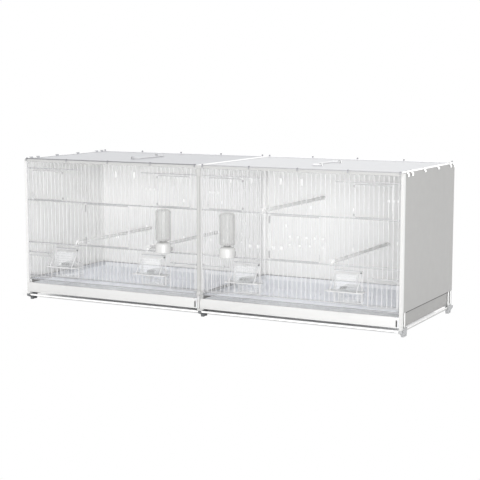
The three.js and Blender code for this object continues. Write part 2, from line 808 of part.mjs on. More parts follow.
// Lower side sheet on the right, with the tray's runner
function baseSkirt() {
  const inner = skirtOuter - sheet;
  const top = ledgeHeight - sheet - seat;
  const shape = outline([
    [skirtOuter - runnerWidth, runnerHeight - sheet], [skirtOuter, runnerHeight - sheet],
    [skirtOuter, top], [inner, top], [inner, runnerHeight], [skirtOuter - runnerWidth, runnerHeight],
  ]);
  return toGeometry(alongY(shape, [postBack + seat, ringBack]));
}

// Front foot, clipped on from below where a wire that runs back meets the front wire: a lip
// before the front wire, and a toe with a notch under the wire that runs back
function foot() {
  const arm = footWidth / 2;
  const slot = baseWire / 2 + seat;
  const slotLow = baseWireHeight - slot;
  const top = runnerHeight - sheet - seat;
  const toe = footToe / 2;
  const shape = outline([
    [-toe, 0], [toe, 0], [(arm + toe) / 2, slotLow], [arm, top], [slot, top], [slot, slotLow],
    [-slot, slotLow], [-slot, top], [-arm, top], [-(arm + toe) / 2, slotLow],
  ]);
  const lip = -seat - sheet;
  const wide = [-footWidth, footWidth];
  const toeFront = footLength - footToeRun;
  const [notch, notchHigh] = footNotch;
  const cuts = join([
    box(wide, around(footLength - footToeRun / 2, notch), [-cutPast, notchHigh]),
    box(wide, [-seat, baseWire + seat], [slotLow, top + cutPast]),
    box(wide, [lip - cutPast, postBack + seat], [baseTop, top + cutPast]),
    alongX(outline([
      [lip - cutPast, -cutPast], [toeFront, -cutPast], [toeFront, slotLow / 2], [lip, slotLow - sheet],
      [lip - cutPast, slotLow - sheet],
    ]), wide),
  ]);
  const bite = sheet / 4;
  const cover = box(
    around(0, 2 * (slot + bite)), [lip + bite, -seat - bite], [slotLow - sheet, baseTop - bite],
  );
  return toGeometry(join([alongY(shape, [lip, footLength]).subtract(cuts), cover]));
}

// The same geometry on the other side of the plane y = 0
function reversed(geometry) {
  const other = mirrored(geometry);
  other.rotateZ(Math.PI);
  return other;
}

// Pull-out tray: pan on the runners and a front plate with round upper corners
function tray() {
  const low = runnerHeight + seat;
  const half = grilleHalf - railWire - seat;
  const front = railWire / 2 + sheet;
  const pan = box([-half, half], [front, trayRun], [low, low + trayWall]);
  const hollow = box(
    [sheet - half, half - sheet], [front + sheet, trayRun - sheet],
    [low + sheet, low + trayWall + cutPast],
  );
  const left = -halfModule + 2 * sheet + sheet;
  const right = halfModule - postReach - traySlot;
  const plate = new THREE.Shape();
  plate.moveTo(left, low + sheet);
  plate.lineTo(right, low + sheet);
  plate.lineTo(right, trayTop - trayCorner);
  plate.absarc(right - trayCorner, trayTop - trayCorner, trayCorner, 0, Math.PI / 2);
  plate.absarc(left + trayCorner, trayTop - trayCorner, trayCorner, Math.PI / 2, Math.PI);
  const plateBack = postFront - seat;
  const bend = sheet / 2;
  const lipSpan = [bend - half, right - trayCorner];
  const riser = around(front + bend, bend);
  return toGeometry(join([
    pan.subtract(hollow),
    alongY(plate, [plateBack - sheet, plateBack]),
    box(lipSpan, [plateBack - bend, riser[1] + bend], around(trayTop - sheet, sheet)),
    box(lipSpan, riser, [low + trayWall / 2, trayTop - sheet]),
  ]));
}

// Floor grid of one compartment, wires from left to right in a frame with a bearer in the middle
function floorGrid() {
  const half = halfModule - postReach - seat;
  const z = ledgeHeight + seat + railWire / 2;
  const inset = railWire / 2;
  const wires = [
    wireAlongX([-half, half], -inset / 2, z, railWire),
    wireAlongX([-half, half], gridRun - inset, z, railWire),
    wireAlongY(inset - half, [0, gridRun - inset], z, lineWire),
    wireAlongY(half - inset, [0, gridRun - inset], z, lineWire),
  ];
  wires.push(wireAlongY(0, [0, gridRun - inset], z, lineWire));
  for (let y = gridPitch; y < gridRun - gridPitch; y += gridPitch) {
    wires.push(barAlongX([inset - half, half - inset], y, z));
  }
  return toGeometry(join(wires));
}

// Wire divider with the pull strip and its two clip blocks at the front
function divider() {
  const low = ledgeHeight + seat;
  const back = cageDepth - sheet - seat - sheet - dividerWire;
  const wires = [
    wireAlongY(0, [0, back], low + dividerWire / 2, dividerWire),
    wireAlongY(0, [0, back], dividerTop - dividerWire / 2, dividerWire),
    wireAlongZ(0, back - dividerWire / 2, [low, dividerTop], dividerWire),
  ];
  const stripFront = postFront - 2 * sheet;
  const blockHalf = postReach - seat;
  const blockBack = postFront - seat;
  wires.push(box(around(0, dividerStrip), [stripFront, dividerWire], [low, dividerTop]));
  const blockDepth = 4 * sheet;
  for (const heights of [[low, low + dividerBlocks[0]], [dividerTop - dividerBlocks[1], dividerTop]]) {
    wires.push(box([-blockHalf, blockHalf], [blockBack - blockDepth, blockBack], heights));
  }
  for (let y = dividerPitch; y < back - dividerPitch / 2; y += dividerPitch) {
    wires.push(barAlongZ(0, y, [low + dividerWire / 2, dividerTop - dividerWire / 2]));
  }
  return toGeometry(join(wires));
}

const cage = new THREE.Group();
const modules = [-1, 1].map((side) => {
  const group = new THREE.Group();
  group.position.x = side * halfModule;
  cage.add(group);
  return group;
});

function place(parent, name, geometry, material, [x, y, z] = [0, 0, 0]) {
  const mesh = new THREE.Mesh(geometry, material);
  mesh.name = name;
  mesh.position.set(x, y, z);
  parent.add(mesh);
}

// One piece for each end of the cage, the left one a mirror image
function placePair(name, geometry, material) {
  place(cage, `${name}_left`, mirrored(geometry), material);
  place(cage, `${name}_right`, geometry, material);
}

placePair('side_panel', sidePanel(), paint);
placePair('back_panel', backPanel(), paint);
placePair('roof_panel', roofPanel(), roofPaint);
placePair('roof_rod_front', roofRod(false), steel);
placePair('roof_rod_rear', roofRod(true), steel);
placePair('front_post', outerPost(), white);
placePair('base_skirt', baseSkirt(), paint);
place(cage, 'roof_joint_strip', jointStrip(), white);
place(cage, 'centre_post', centrePost(), white);
place(cage, 'divider_guide_rear', dividerGuide(), white);
place(cage, 'centre_beam', centreBeam(), paint);
place(cage, 'base_frame', baseFrame(), white);
place(cage, 'divider', divider(), wirePaint);

const handleShape = handle();
const handleX = halfModule + handleOffset;
place(cage, 'handle_left', mirrored(handleShape), white, [-handleX, roofMiddle, handleHeight]);
place(cage, 'handle_right', handleShape, white, [handleX, roofMiddle, handleHeight]);

const frontFoot = foot();
const footRows = [['front', frontFoot, 0], ['rear', reversed(frontFoot), cageDepth]];
for (const [row, footShape, y] of footRows) {
  place(cage, `foot_${row}_left`, footShape, footPlastic, [-ringHalf, y, 0]);
  place(cage, `foot_${row}_centre`, footShape, footPlastic, [0, y, 0]);
  place(cage, `foot_${row}_right`, footShape, footPlastic, [ringHalf, y, 0]);
}

const grilleShape = frontGrille();
const trayShape = tray();
const gridShape = floorGrid();
const nestShapes = [mirrored(nestDoor()), nestDoor()];
const cornerShapes = [mirrored(cornerDoor()), cornerDoor()];
const middleShape = middleDoor();
const feederShape = feeder();
const bracketShape = feederBracket();
const cupShape = drinkerBase();
const bottleShape = drinkerBottle();

// Perches of the left and the right compartment: place and the rail that each lies on
const perches = [
  [[-8.5, thirdRailHeight], [9.5, thirdRailHeight]],
  [[-7.5, secondRailHeight], [7.5, thirdRailHeight]],
];

modules.forEach((group, side) => {
  const word = ['left', 'right'][side];
  place(group, `front_grille_${word}`, grilleShape, wirePaint);
  place(group, `tray_${word}`, trayShape, white);
  place(group, `floor_grid_${word}`, gridShape, wirePaint);
  place(group, `middle_door_${side + 1}`, middleShape, wirePaint);
  const drinkerAt = [side ? -drinkerX : drinkerX, 0, 0];
  place(group, `drinker_base_${side + 1}`, cupShape, white, drinkerAt);
  place(group, `drinker_bottle_${side + 1}`, bottleShape, clear, drinkerAt);
  for (const half of [0, 1]) {
    const number = 2 * side + half + 1;
    place(group, `nest_door_${number}`, nestShapes[half], wirePaint);
    place(group, `corner_door_${number}`, cornerShapes[half], wirePaint);
    const feederAt = [half ? feederX : -feederX, 0, 0];
    place(group, `feeder_${number}`, feederShape, clear, feederAt);
    place(group, `feeder_bracket_${number}`, bracketShape, wirePaint, feederAt);
    const [bar, rail] = perches[side][half];
    place(group, `perch_${number}`, perch(rail), perchPlastic, [barX(bar), 0, 0]);
  }
});

cage.updateMatrixWorld(true);
const overall = new THREE.Box3().setFromObject(cage, true);
cage.position.y = -(overall.min.y + overall.max.y) / 2;

export default cage;
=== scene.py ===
import math

import bpy
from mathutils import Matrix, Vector


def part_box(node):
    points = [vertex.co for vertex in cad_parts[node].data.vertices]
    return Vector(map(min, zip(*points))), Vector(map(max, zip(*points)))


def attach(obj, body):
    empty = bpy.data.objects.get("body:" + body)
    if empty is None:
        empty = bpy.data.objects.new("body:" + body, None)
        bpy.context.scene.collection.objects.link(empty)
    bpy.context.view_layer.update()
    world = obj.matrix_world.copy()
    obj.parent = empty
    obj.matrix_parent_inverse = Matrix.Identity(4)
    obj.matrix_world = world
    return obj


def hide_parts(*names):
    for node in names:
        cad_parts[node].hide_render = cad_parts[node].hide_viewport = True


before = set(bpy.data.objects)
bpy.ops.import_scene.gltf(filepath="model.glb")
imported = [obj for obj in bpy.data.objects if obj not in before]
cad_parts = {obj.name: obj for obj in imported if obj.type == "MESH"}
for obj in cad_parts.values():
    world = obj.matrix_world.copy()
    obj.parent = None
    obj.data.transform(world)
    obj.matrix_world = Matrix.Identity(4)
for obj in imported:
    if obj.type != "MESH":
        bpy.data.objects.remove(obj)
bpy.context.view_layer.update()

# Sizes that several pieces share, in millimetres. Y counts back from the plane of the front wires.
cage = {
    "frontY": -184.35,
    "module": 300,
    "pitch": 600 / 44,
    "bottomRail": 78,
    "thirdRail": 178.5,
    "secondRail": 305.5,
    "topRail": 425.1,
    "barRadius": 0.85,
    "lineRadius": 1.2,
    "railRadius": 1.6,
    "railSetBack": 1.2,
    "frameBend": 2.5,
}
sides = {"left": -1, "right": 1}
# How the solids' edges are rounded and shaded: a distance in metres, then angles in degrees
edges = {"merge": 0.00002, "flat": 2, "sharp": 35, "smooth": 40}


def at(x, y, z):
    return Vector((x, y + cage["frontY"], z)) / 1000


def barX(index):
    return index * cage["pitch"]


# Selecting, adding and finishing, as every piece needs it
def deselect():
    if bpy.context.mode != "OBJECT":
        bpy.ops.object.mode_set(mode="OBJECT")
    bpy.ops.object.select_all(action="DESELECT")


def pick(*objs):
    deselect()
    for obj in objs:
        obj.select_set(True)
    bpy.context.view_layer.objects.active = objs[0]


def edit(obj):
    pick(obj)
    bpy.ops.object.mode_set(mode="EDIT")
    bpy.ops.mesh.select_all(action="SELECT")


def startPiece(name, points=(), lines=()):
    mesh = bpy.data.meshes.new(name)
    mesh.from_pydata(points, lines, [])
    obj = bpy.data.objects.new(name, mesh)
    bpy.context.collection.objects.link(obj)
    edit(obj)
    return obj


def soften(width, segments=2):
    # rounds the edges that are selected
    bpy.ops.mesh.bevel(offset=width / 1000, segments=segments, affect="EDGES")


def addRod(start, end, radius, count=10):
    along = end - start
    bpy.ops.mesh.primitive_cylinder_add(
        vertices=count, radius=radius / 1000, depth=along.length,
        location=(start + end) / 2, rotation=along.to_track_quat("Z", "Y").to_euler(),
    )


def addBlock(low, high, bevel=0.0, segments=2):
    bpy.ops.mesh.primitive_cube_add(size=1, location=(low + high) / 2, scale=high - low)
    if bevel:
        soften(bevel, segments)


def addRing(centre, radius, thick, turn=(0, 0, 0)):
    bpy.ops.mesh.primitive_torus_add(
        location=centre, rotation=turn, major_radius=radius / 1000, minor_radius=thick / 1000,
        major_segments=14, minor_segments=6,
    )


def bentWire(points, radius, bend=3.0, closed=False, roundness=2):
    # corners of a wire path are rounded as vertices, then the path gets its thickness
    last = len(points) - 1
    lines = [(i, i + 1) for i in range(last)] + ([(last, 0)] if closed else [])
    wire = startPiece("wire", points, lines)
    if not closed:
        bpy.ops.object.mode_set(mode="OBJECT")
        wire.data.vertices[0].select = False
        wire.data.vertices[last].select = False
        bpy.ops.object.mode_set(mode="EDIT")
    bpy.ops.mesh.bevel(offset=bend / 1000, segments=4, affect="VERTICES")
    pick(wire)
    bpy.ops.object.convert(target="CURVE")
    wire = bpy.context.object
    wire.data.bevel_depth = radius / 1000
    wire.data.bevel_resolution = roundness
    wire.data.use_fill_caps = True
    bpy.ops.object.convert(target="MESH")
    return bpy.context.object


def uprightLoop(x, sign, near, far, y, low, high):
    # the frame of a door or a bracket
    corners = [(near, low), (far, low), (far, high), (near, high)]
    return bentWire([at(x + sign * u, y, z) for u, z in corners],
                    cage["lineRadius"], cage["frameBend"], closed=True)


def levelLoop(x, half, front, back, z, radius, bend, roundness=2):
    corners = [(-half, front), (half, front), (half, back), (-half, back)]
    return bentWire([at(x + u, y, z) for u, y in corners], radius, bend, True, roundness)


def choose(obj, test):
    # selects the faces whose normal passes the test
    bpy.ops.object.mode_set(mode="EDIT")
    bpy.ops.mesh.select_all(action="DESELECT")
    bpy.ops.object.mode_set(mode="OBJECT")
    for face in obj.data.polygons:
        face.select = bool(test(face.normal))
    bpy.ops.object.mode_set(mode="EDIT")
    bpy.ops.mesh.select_mode(type="FACE")


def chooseUpperEdges(obj, height):
    # selects the edges above a height that run from front to rear
    bpy.ops.mesh.select_mode(type="EDGE")
    bpy.ops.mesh.select_all(action="DESELECT")
    bpy.ops.object.mode_set(mode="OBJECT")
    for edge in obj.data.edges:
        a, b = (obj.data.vertices[v].co for v in edge.vertices)
        edge.select = min(a.z, b.z) > height and abs(a.y - b.y) > 0.0005
    bpy.ops.object.mode_set(mode="EDIT")


def joined(name, *parts):
    pick(*parts)
    bpy.ops.object.join()
    parts[0].name = name
    return parts[0]


def smoothed(obj, angle=35):
    pick(obj)
    bpy.ops.object.transform_apply(location=True, rotation=True, scale=True)
    bpy.ops.object.shade_smooth_by_angle(angle=math.radians(angle))


def addBevel(obj, width, angle=30, segments=2):
    bevel = obj.modifiers.new("Bevel", "BEVEL")
    bevel.width = width / 1000
    bevel.segments = segments
    bevel.limit_method = "ANGLE"
    bevel.angle_limit = math.radians(angle)


def addWall(obj, thick):
    wall = obj.modifiers.new("Solidify", "SOLIDIFY")
    wall.thickness = thick / 1000
    wall.offset = -1


def applyModifiers(obj):
    pick(obj)
    for modifier in list(obj.modifiers):
        bpy.ops.object.modifier_apply(modifier=modifier.name)


def hollowed(obj, thick):
    addWall(obj, thick)
    addBevel(obj, 0.4, 40)
    applyModifiers(obj)


def dress(obj, material, body, slot, *nodes):
    obj.data.materials.clear()
    obj.data.materials.append(material)
    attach(obj, body)
    if nodes:
        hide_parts(*nodes)


def softCopy(node, name, width, material, slot, segments=2):
    # the solid's own form with its doubles merged and its edges rounded
    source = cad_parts[node]
    obj = source.copy()
    obj.data = source.data.copy()
    for key in list(obj.keys()):
        if key.startswith("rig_"):
            del obj[key]
    obj.parent = None
    obj.matrix_world = source.matrix_world.copy()
    obj.name = name
    bpy.context.collection.objects.link(obj)
    edit(obj)
    bpy.ops.mesh.remove_doubles(threshold=edges["merge"])
    bpy.ops.mesh.dissolve_limited(angle_limit=math.radians(edges["flat"]))
    addBevel(obj, width, edges["sharp"], segments)
    applyModifiers(obj)
    smoothed(obj, edges["smooth"])
    # flat faces stay flat to the light beside their rounded edges
    weighing = obj.modifiers.new("Weighted normal", "WEIGHTED_NORMAL")
    weighing.keep_sharp = True
    weighing.weight = 100
    applyModifiers(obj)
    dress(obj, material, "carcass", slot, node)
    return obj


# Finishes
def feed(tree, value, socket):
    if isinstance(value, bpy.types.NodeSocket):
        tree.links.new(value, socket)
    else:
        socket.default_value = value


def calc(tree, operation, *values):
    node = tree.nodes.new("ShaderNodeMath")
    node.operation = operation
    for value, socket in zip(values, node.inputs):
        feed(tree, value, socket)
    return node.outputs[0]


def mixed(tree, kind, a, b, factor, blend="MIX"):
    # kind is Color or Float
    node = tree.nodes.new("ShaderNodeMix")
    node.data_type = {"Color": "RGBA", "Float": "FLOAT"}[kind]
    node.blend_type = blend
    sockets = {s.identifier: s for s in node.inputs}
    feed(tree, a, sockets[f"A_{kind}"])
    feed(tree, b, sockets[f"B_{kind}"])
    feed(tree, factor, node.inputs["Factor"])
    return next(s for s in node.outputs if s.identifier == f"Result_{kind}")


def coordinate(tree, name):
    return tree.nodes.new("ShaderNodeTexCoord").outputs[name]


def parted(tree, vector):
    split = tree.nodes.new("ShaderNodeSeparateXYZ")
    tree.links.new(vector, split.inputs[0])
    return split.outputs


def noise(tree, scale, detail, rough, stretch):
    mapping = tree.nodes.new("ShaderNodeMapping")
    mapping.inputs["Scale"].default_value = stretch
    texture = tree.nodes.new("ShaderNodeTexNoise")
    texture.inputs["Scale"].default_value = scale
    texture.inputs["Detail"].default_value = detail
    texture.inputs["Roughness"].default_value = rough
    tree.links.new(coordinate(tree, "Object"), mapping.inputs["Vector"])
    tree.links.new(mapping.outputs["Vector"], texture.inputs["Vector"])
    return texture.outputs["Fac"]


def paintShadeAboveBelow(tree, colour, amount):
    # painted shade and reflection: faces of flat-lying wires that point up or down are darkened, standing for the
    # dimmer light they get and reflect there
    upright = calc(tree, "ABSOLUTE", parted(tree, coordinate(tree, "Normal"))["Z"])
    return mixed(tree, "Color", colour, (amount, amount, amount * 1.02, 1), upright, "MULTIPLY")


# Surfaces: the two ends of the roughness, the grain and how dark the patches are
kinds = {
    "paint": {"rough": (0.36, 0.48), "bump": 0.12, "dark": 0.965},
    "palePaint": {"rough": (0.36, 0.48), "bump": 0.12, "dark": 0.97},
    "roofPaint": {"rough": (0.34, 0.46), "bump": 0.12, "dark": 0.965},
    "brightPaint": {"rough": (0.32, 0.44), "bump": 0.1, "dark": 0.98},
    "metal": {"rough": (0.30, 0.42), "bump": 0.1, "dark": 0.97},
    "shadowStrip": {"rough": (0.5, 0.6), "bump": 0.1, "dark": 0.9},
    "pan": {"rough": (0.34, 0.5), "bump": 0.12, "dark": 0.95},
    "wire": {"rough": (0.3, 0.44), "bump": 0.12, "grain": 1400},
    "smoothWire": {"rough": (0.28, 0.42), "bump": 0.12, "grain": 1400},
    "patchyWire": {"rough": (0.3, 0.45), "metal": 0.1, "bump": 0.15, "patch": 60},
    "clip": {"rough": (0.3, 0.45), "metal": 0.5, "bump": 0.1},
    "rod": {"rough": (0.28, 0.42), "metal": 0.3, "bump": 0.1},
    "handle": {"rough": (0.3, 0.42), "metal": 0.1, "bump": 0.1},
    "foot": {"rough": (0.45, 0.6), "bump": 0.25, "grain": 1800, "dark": 0.8},
    "perch": {"rough": (0.5, 0.65), "bump": 0.3, "grain": 1500, "stretch": (1, 0.05, 1), "dark": 0.94,
              "edgeBlend": 0.3},
    "cup": {"rough": (0.18, 0.3), "bump": 0.06, "coat": 0.3},
    "clear": {"rough": (0.06, 0.14), "bump": 0.05, "dark": 0.97, "ior": 1.5, "edgeBlend": 0.35},
}
# Each finish: its surface, its colour, and what it adds. Edge is the alpha face on and at the rim.
finishes = {
    # painted shade: painted_sheet and skirt_sheet are dark grey copies of the cage's white paint for its shaded outer
    # sides and skirts, shaded_outer_sheet a lighter one for the back's outside
    "painted_sheet": ("paint", (0.305, 0.302, 0.297), {}),
    "shaded_outer_sheet": ("paint", (0.60, 0.598, 0.592), {}),
    "skirt_sheet": ("paint", (0.28, 0.277, 0.272), {}),
    # painted light: the backs and lit_inner_sheet are near-white copies of the same paint for the lit inside faces,
    # the two backs differing only for how light falls
    "back_sheet_left": ("palePaint", (0.905, 0.905, 0.90), {}),
    "back_sheet_right": ("palePaint", (0.88, 0.88, 0.875), {}),
    "lit_inner_sheet": ("palePaint", (0.84, 0.84, 0.835), {}),
    # the two roofs are one paint, the right one made lighter: painted light
    "roof_sheet_left": ("roofPaint", (0.47, 0.475, 0.495), {}),
    "roof_sheet_right": ("roofPaint", (0.575, 0.58, 0.595), {}),
    # shaded_lip_sheet is painted shade on the roof's front lip; bright_sheet is a near-white copy for faces that
    # should read lit, painted light
    "shaded_lip_sheet": ("paint", (0.40, 0.40, 0.395), {}),
    "bright_sheet": ("brightPaint", (0.93, 0.93, 0.925), {}),
    # white_metal, base_metal and painted_underside_shade are lighter and darker copies of one white metal for how
    # light falls on each place: painted light and shade
    "white_metal": ("metal", (0.58, 0.58, 0.575), {}),
    "base_metal": ("metal", (0.90, 0.90, 0.895), {}),
    "painted_underside_shade": ("metal", (0.22, 0.22, 0.215), {}),
    "bracket_wire": ("wire", (0.58, 0.58, 0.585), {}),
    # painted_shadow_strip: painted shadow for the dark line atop the skirts and the dark strip at each tray's end
    "painted_shadow_strip": ("shadowStrip", (0.06, 0.06, 0.06), {}),
    # post_metal and lit_post_face are darker and lighter copies of the same white metal: painted shade and painted
    # light
    "post_metal": ("metal", (0.41, 0.41, 0.405), {}),
    "lit_post_face": ("metal", (0.50, 0.50, 0.495), {}),
    "tray_sheet": ("metal", (0.55, 0.55, 0.545), {}),
    "tray_pan": ("pan", (0.93, 0.94, 0.96), {}),
    # across: how far the upper and lower faces of flat-lying wires are darkened, as painted shade
    "wire": ("wire", (0.545, 0.545, 0.55), {"across": 0.4}),
    # the two rail finishes are one wire, the right one made lighter: painted light
    "rail_wire_left": ("smoothWire", (0.48, 0.48, 0.495), {"across": 0.2}),
    "rail_wire_right": ("smoothWire", (0.58, 0.58, 0.59), {"across": 0.3}),
    # grid_wire and edge_wire are one wire, the edge a darker copy against the front light: painted shade
    "grid_wire": ("smoothWire", (0.90, 0.92, 0.96), {"across": 0.9}),
    "edge_wire": ("wire", (0.44, 0.445, 0.455), {"across": 0.5}),
    "divider_wire": ("patchyWire", (0.80, 0.80, 0.81), {}),
    "dark_rod": ("clip", (0.30, 0.30, 0.32), {}),
    # the roof rods are one dark steel; the lighter right-hand front rod and the near-white rear rods are painted
    # light
    "rod_front_left": ("rod", (0.22, 0.22, 0.23), {}),
    "rod_front_right": ("rod", (0.42, 0.42, 0.43), {}),
    "rod_rear_left": ("rod", (0.85, 0.85, 0.86), {}),
    "rod_rear_right": ("rod", (0.90, 0.90, 0.91), {}),
    # the two bails are one wire, the right one made lighter: painted light
    "handle_wire_left": ("handle", (0.62, 0.62, 0.63), {}),
    "handle_wire_right": ("handle", (0.80, 0.80, 0.81), {}),
    # foot_plastic_lit is the same dark plastic made lighter for the lit right-hand feet: painted light
    "foot_plastic": ("foot", (0.15, 0.155, 0.16), {}),
    "foot_plastic_lit": ("foot", (0.40, 0.405, 0.41), {}),
    "perch_plastic": ("perch", (0.95, 0.95, 0.945), {"edge": (0.4, 0.62)}),
    "cup_plastic": ("cup", (0.50, 0.50, 0.495), {}),
    "bottle_plastic": ("clear", (0.43, 0.43, 0.42), {"edge": (0.14, 0.38)}),
    "feeder_plastic": ("clear", (0.80, 0.81, 0.82), {"edge": (0.06, 0.5)}),
}


def makeFinish(name, kind, colour, own):
    look = {**kinds[kind], **own}
    material = bpy.data.materials.new(name)
    material.use_nodes = True
    tree = material.node_tree
    shader = tree.nodes["Principled BSDF"]
    shader.inputs["Metallic"].default_value = look.get("metal", 0.0)
    shader.inputs["IOR"].default_value = look.get("ior", 1.45)
    shader.inputs["Coat Weight"].default_value = look.get("coat", 0.0)
    stretch = look.get("stretch", (1, 1, 1))
    shade = tuple(c * look.get("dark", 0.93) for c in colour) + (1,)
    broad = noise(tree, look.get("patch", 9), 4.0, 0.6, stretch)
    patchy = mixed(tree, "Color", shade, colour + (1,), broad)
    # painted shade on the upper and lower faces of flat-lying wires
    if "across" in look:
        patchy = paintShadeAboveBelow(tree, patchy, look["across"])
    tree.links.new(patchy, shader.inputs["Base Color"])
    if "edge" in look:
        facing = tree.nodes.new("ShaderNodeLayerWeight")
        facing.inputs["Blend"].default_value = look["edgeBlend"]
        tree.links.new(mixed(tree, "Float", *look["edge"], facing.outputs["Facing"]), shader.inputs["Alpha"])
    smears = noise(tree, 40, 3.0, 0.5, stretch)
    tree.links.new(mixed(tree, "Float", *look["rough"], smears), shader.inputs["Roughness"])
    bump = tree.nodes.new("ShaderNodeBump")
    bump.inputs["Strength"].default_value = look["bump"]
    bump.inputs["Distance"].default_value = 0.0002
    tree.links.new(noise(tree, look.get("grain", 900), 2.0, 0.5, stretch), bump.inputs["Height"])
    tree.links.new(bump.outputs["Normal"], shader.inputs["Normal"])
    return material


paint = {name: makeFinish(name, *finish) for name, finish in finishes.items()}
print("finishes made")


# Folded sheets, posts and beams keep the solids' forms, with rounded edges
sheets = {  # coat and edge
    "side_panel": ("painted_sheet", 0.35),
    "back_panel": ("back_sheet", 0.2),
    "roof_panel": ("roof_sheet", 0.3),
    "front_post": ("white_metal", 0.3),
    "base_skirt": ("skirt_sheet", 0.25),
}
singles = {
    "roof_joint_strip": ("bright_sheet", 0.3),
    "centre_post": ("post_metal", 0.3),
    "divider_guide_rear": ("bright_sheet", 0.25),
    "centre_beam": ("painted_sheet", 0.25),
}
slots = {"back_sheet": "painted_sheet", "skirt_sheet": "painted_sheet", "bright_sheet": "white_metal",
         "post_metal": "white_metal"}
# Painted light and shade: faces that look a given way get a lighter or darker copy of the white paint, for how light
# falls on them. Directions are given for the right side
paintedLightCoats = {
    "side_panel": [("lit_inner_sheet", (-1, 0, 0))],
    "back_panel": [("shaded_outer_sheet", (0, 1, 0))],
    "roof_panel": [("lit_inner_sheet", (0, 0, -1)), ("shaded_lip_sheet", (0, -1, 0)), ("bright_sheet", (1, 0, 0))],
    "front_post": [("bright_sheet", (-1, 0, 0))],
    "front_post_right": [("lit_post_face", (0, -1, 0))],
    "roof_joint_strip": [("post_metal", (0, -1, 0))],
    "centre_post": [("bright_sheet", (1, 0, 0)), ("bright_sheet", (-1, 0, 0))],
}
# Painted bands along the upper edge: a painted highlight on the panels' fold, and a painted shadow line on the skirts
# where they step in under the panels
paintedLightBands = {"side_panel": ("bright_sheet", 3.5), "base_skirt": ("painted_shadow_strip", 4.2)}


# gives the faces that look one way another finish; every use is a lighter or darker copy of the white, painted light
# and shade
def coat(sheet, look, direction):
    sheet.data.materials.append(paint[look])
    for face in sheet.data.polygons:
        if face.normal.dot(Vector(direction)) > 0.7:
            face.material_index = len(sheet.data.materials) - 1


def paintShadingBandAbove(sheet, look, height):
    # a level cut right through, and above it a band in another finish: painted highlight on the panels, painted
    # shadow on the skirts
    edit(sheet)
    bpy.ops.mesh.bisect(plane_co=(0, 0, height), plane_no=(0, 0, 1))
    deselect()
    sheet.data.materials.append(paint[look])
    for face in sheet.data.polygons:
        if face.center.z > height:
            face.material_index = len(sheet.data.materials) - 1


for stem, (look, width) in sheets.items():
    for word, sign in sides.items():
        node = f"{stem}_{word}"
        own = f"{look}_{word}" if f"{look}_{word}" in paint else look
        sheet = softCopy(node, f"{node}_dressed", width, paint[own], slots.get(look, look))
        for second, (x, y, z) in paintedLightCoats.get(stem, []) + paintedLightCoats.get(node, []):
            coat(sheet, second, (sign * x, y, z))
        if stem in paintedLightBands:
            second, depth = paintedLightBands[stem]
            paintShadingBandAbove(sheet, second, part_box(node)[1][2] - depth / 1000)
for node, (look, width) in singles.items():
    sheet = softCopy(node, f"{node}_dressed", width, paint[look], slots.get(look, look))
    for second, direction in paintedLightCoats.get(node, []):
        coat(sheet, second, direction)
print("sheets dressed")


# Welded wire fronts. Lines are heights; Bars and From count in bars from the middle.
front = {
    "railReach": 292.7,
    "endX": 293.2,
    "overlap": 1,
    "lineSetBack": 0.6,
    "guideLine": 401,
    "guideFrom": 8,
    "cornerLine": 149,
    "cornerFrom": 15,
    "feederLine": 167,
    "feederBars": (8, 14),
    "nestBars": (12, 20),
    "middleBars": (-6, 5),
    "lastBar": 21,
}


def barStretches(index):
    # what is left of a bar between the openings that it meets
    spans = [(cage["bottomRail"], cage["topRail"] + front["overlap"])]
    holes = [
        (front["nestBars"], cage["secondRail"], front["guideLine"], True),
        ((front["cornerFrom"], front["lastBar"] + 1), cage["bottomRail"], front["cornerLine"], True),
        (front["feederBars"], cage["bottomRail"], front["feederLine"], True),
        (front["middleBars"], cage["thirdRail"], cage["secondRail"], False),
    ]
    for (first, last), low, high, both in holes:
        place = abs(index) if both else index
        if first < place < last:
            spans = [s for a, b in spans for s in ((a, min(b, low)), (max(a, high), b)) if s[1] > s[0]]
    return spans


def makeGrille(word, x):
    f = front
    rails = startPiece(f"front_rails_{word}")
    y = cage["railSetBack"]
    for z in (cage["bottomRail"], cage["thirdRail"], cage["secondRail"], cage["topRail"]):
        addRod(at(x - f["railReach"], y, z), at(x + f["railReach"], y, z), cage["railRadius"], 12)
    inner = f["endX"] - f["overlap"]
    lines = [
        (barX(f["guideFrom"]), inner, f["lineSetBack"], f["guideLine"]),
        (barX(f["cornerFrom"]), inner, 0, f["cornerLine"]),
        (barX(f["feederBars"][0]), barX(f["feederBars"][1]), f["lineSetBack"], f["feederLine"]),
    ]
    for sign in (-1, 1):
        for start, end, y, z in lines:
            addRod(at(x + sign * start, y, z), at(x + sign * end, y, z), cage["lineRadius"])
    smoothed(rails)
    bars = startPiece(f"front_bars_{word}")
    for sign in (-1, 1):
        end = x + sign * f["endX"]
        addRod(at(end, 0, cage["bottomRail"] - f["overlap"]), at(end, 0, cage["topRail"] + f["overlap"]),
               cage["railRadius"], 12)
    for index in range(-f["lastBar"], f["lastBar"] + 1):
        for low, high in barStretches(index):
            addRod(at(x + barX(index), 0, low), at(x + barX(index), 0, high), cage["barRadius"], 8)
    smoothed(bars)
    dress(rails, paint[f"rail_wire_{word}"], "carcass", "wire", f"front_grille_{word}")
    dress(bars, paint["wire"], "carcass", "wire", f"front_grille_{word}")


for word, sign in sides.items():
    makeGrille(word, sign * cage["module"])
print("fronts made")


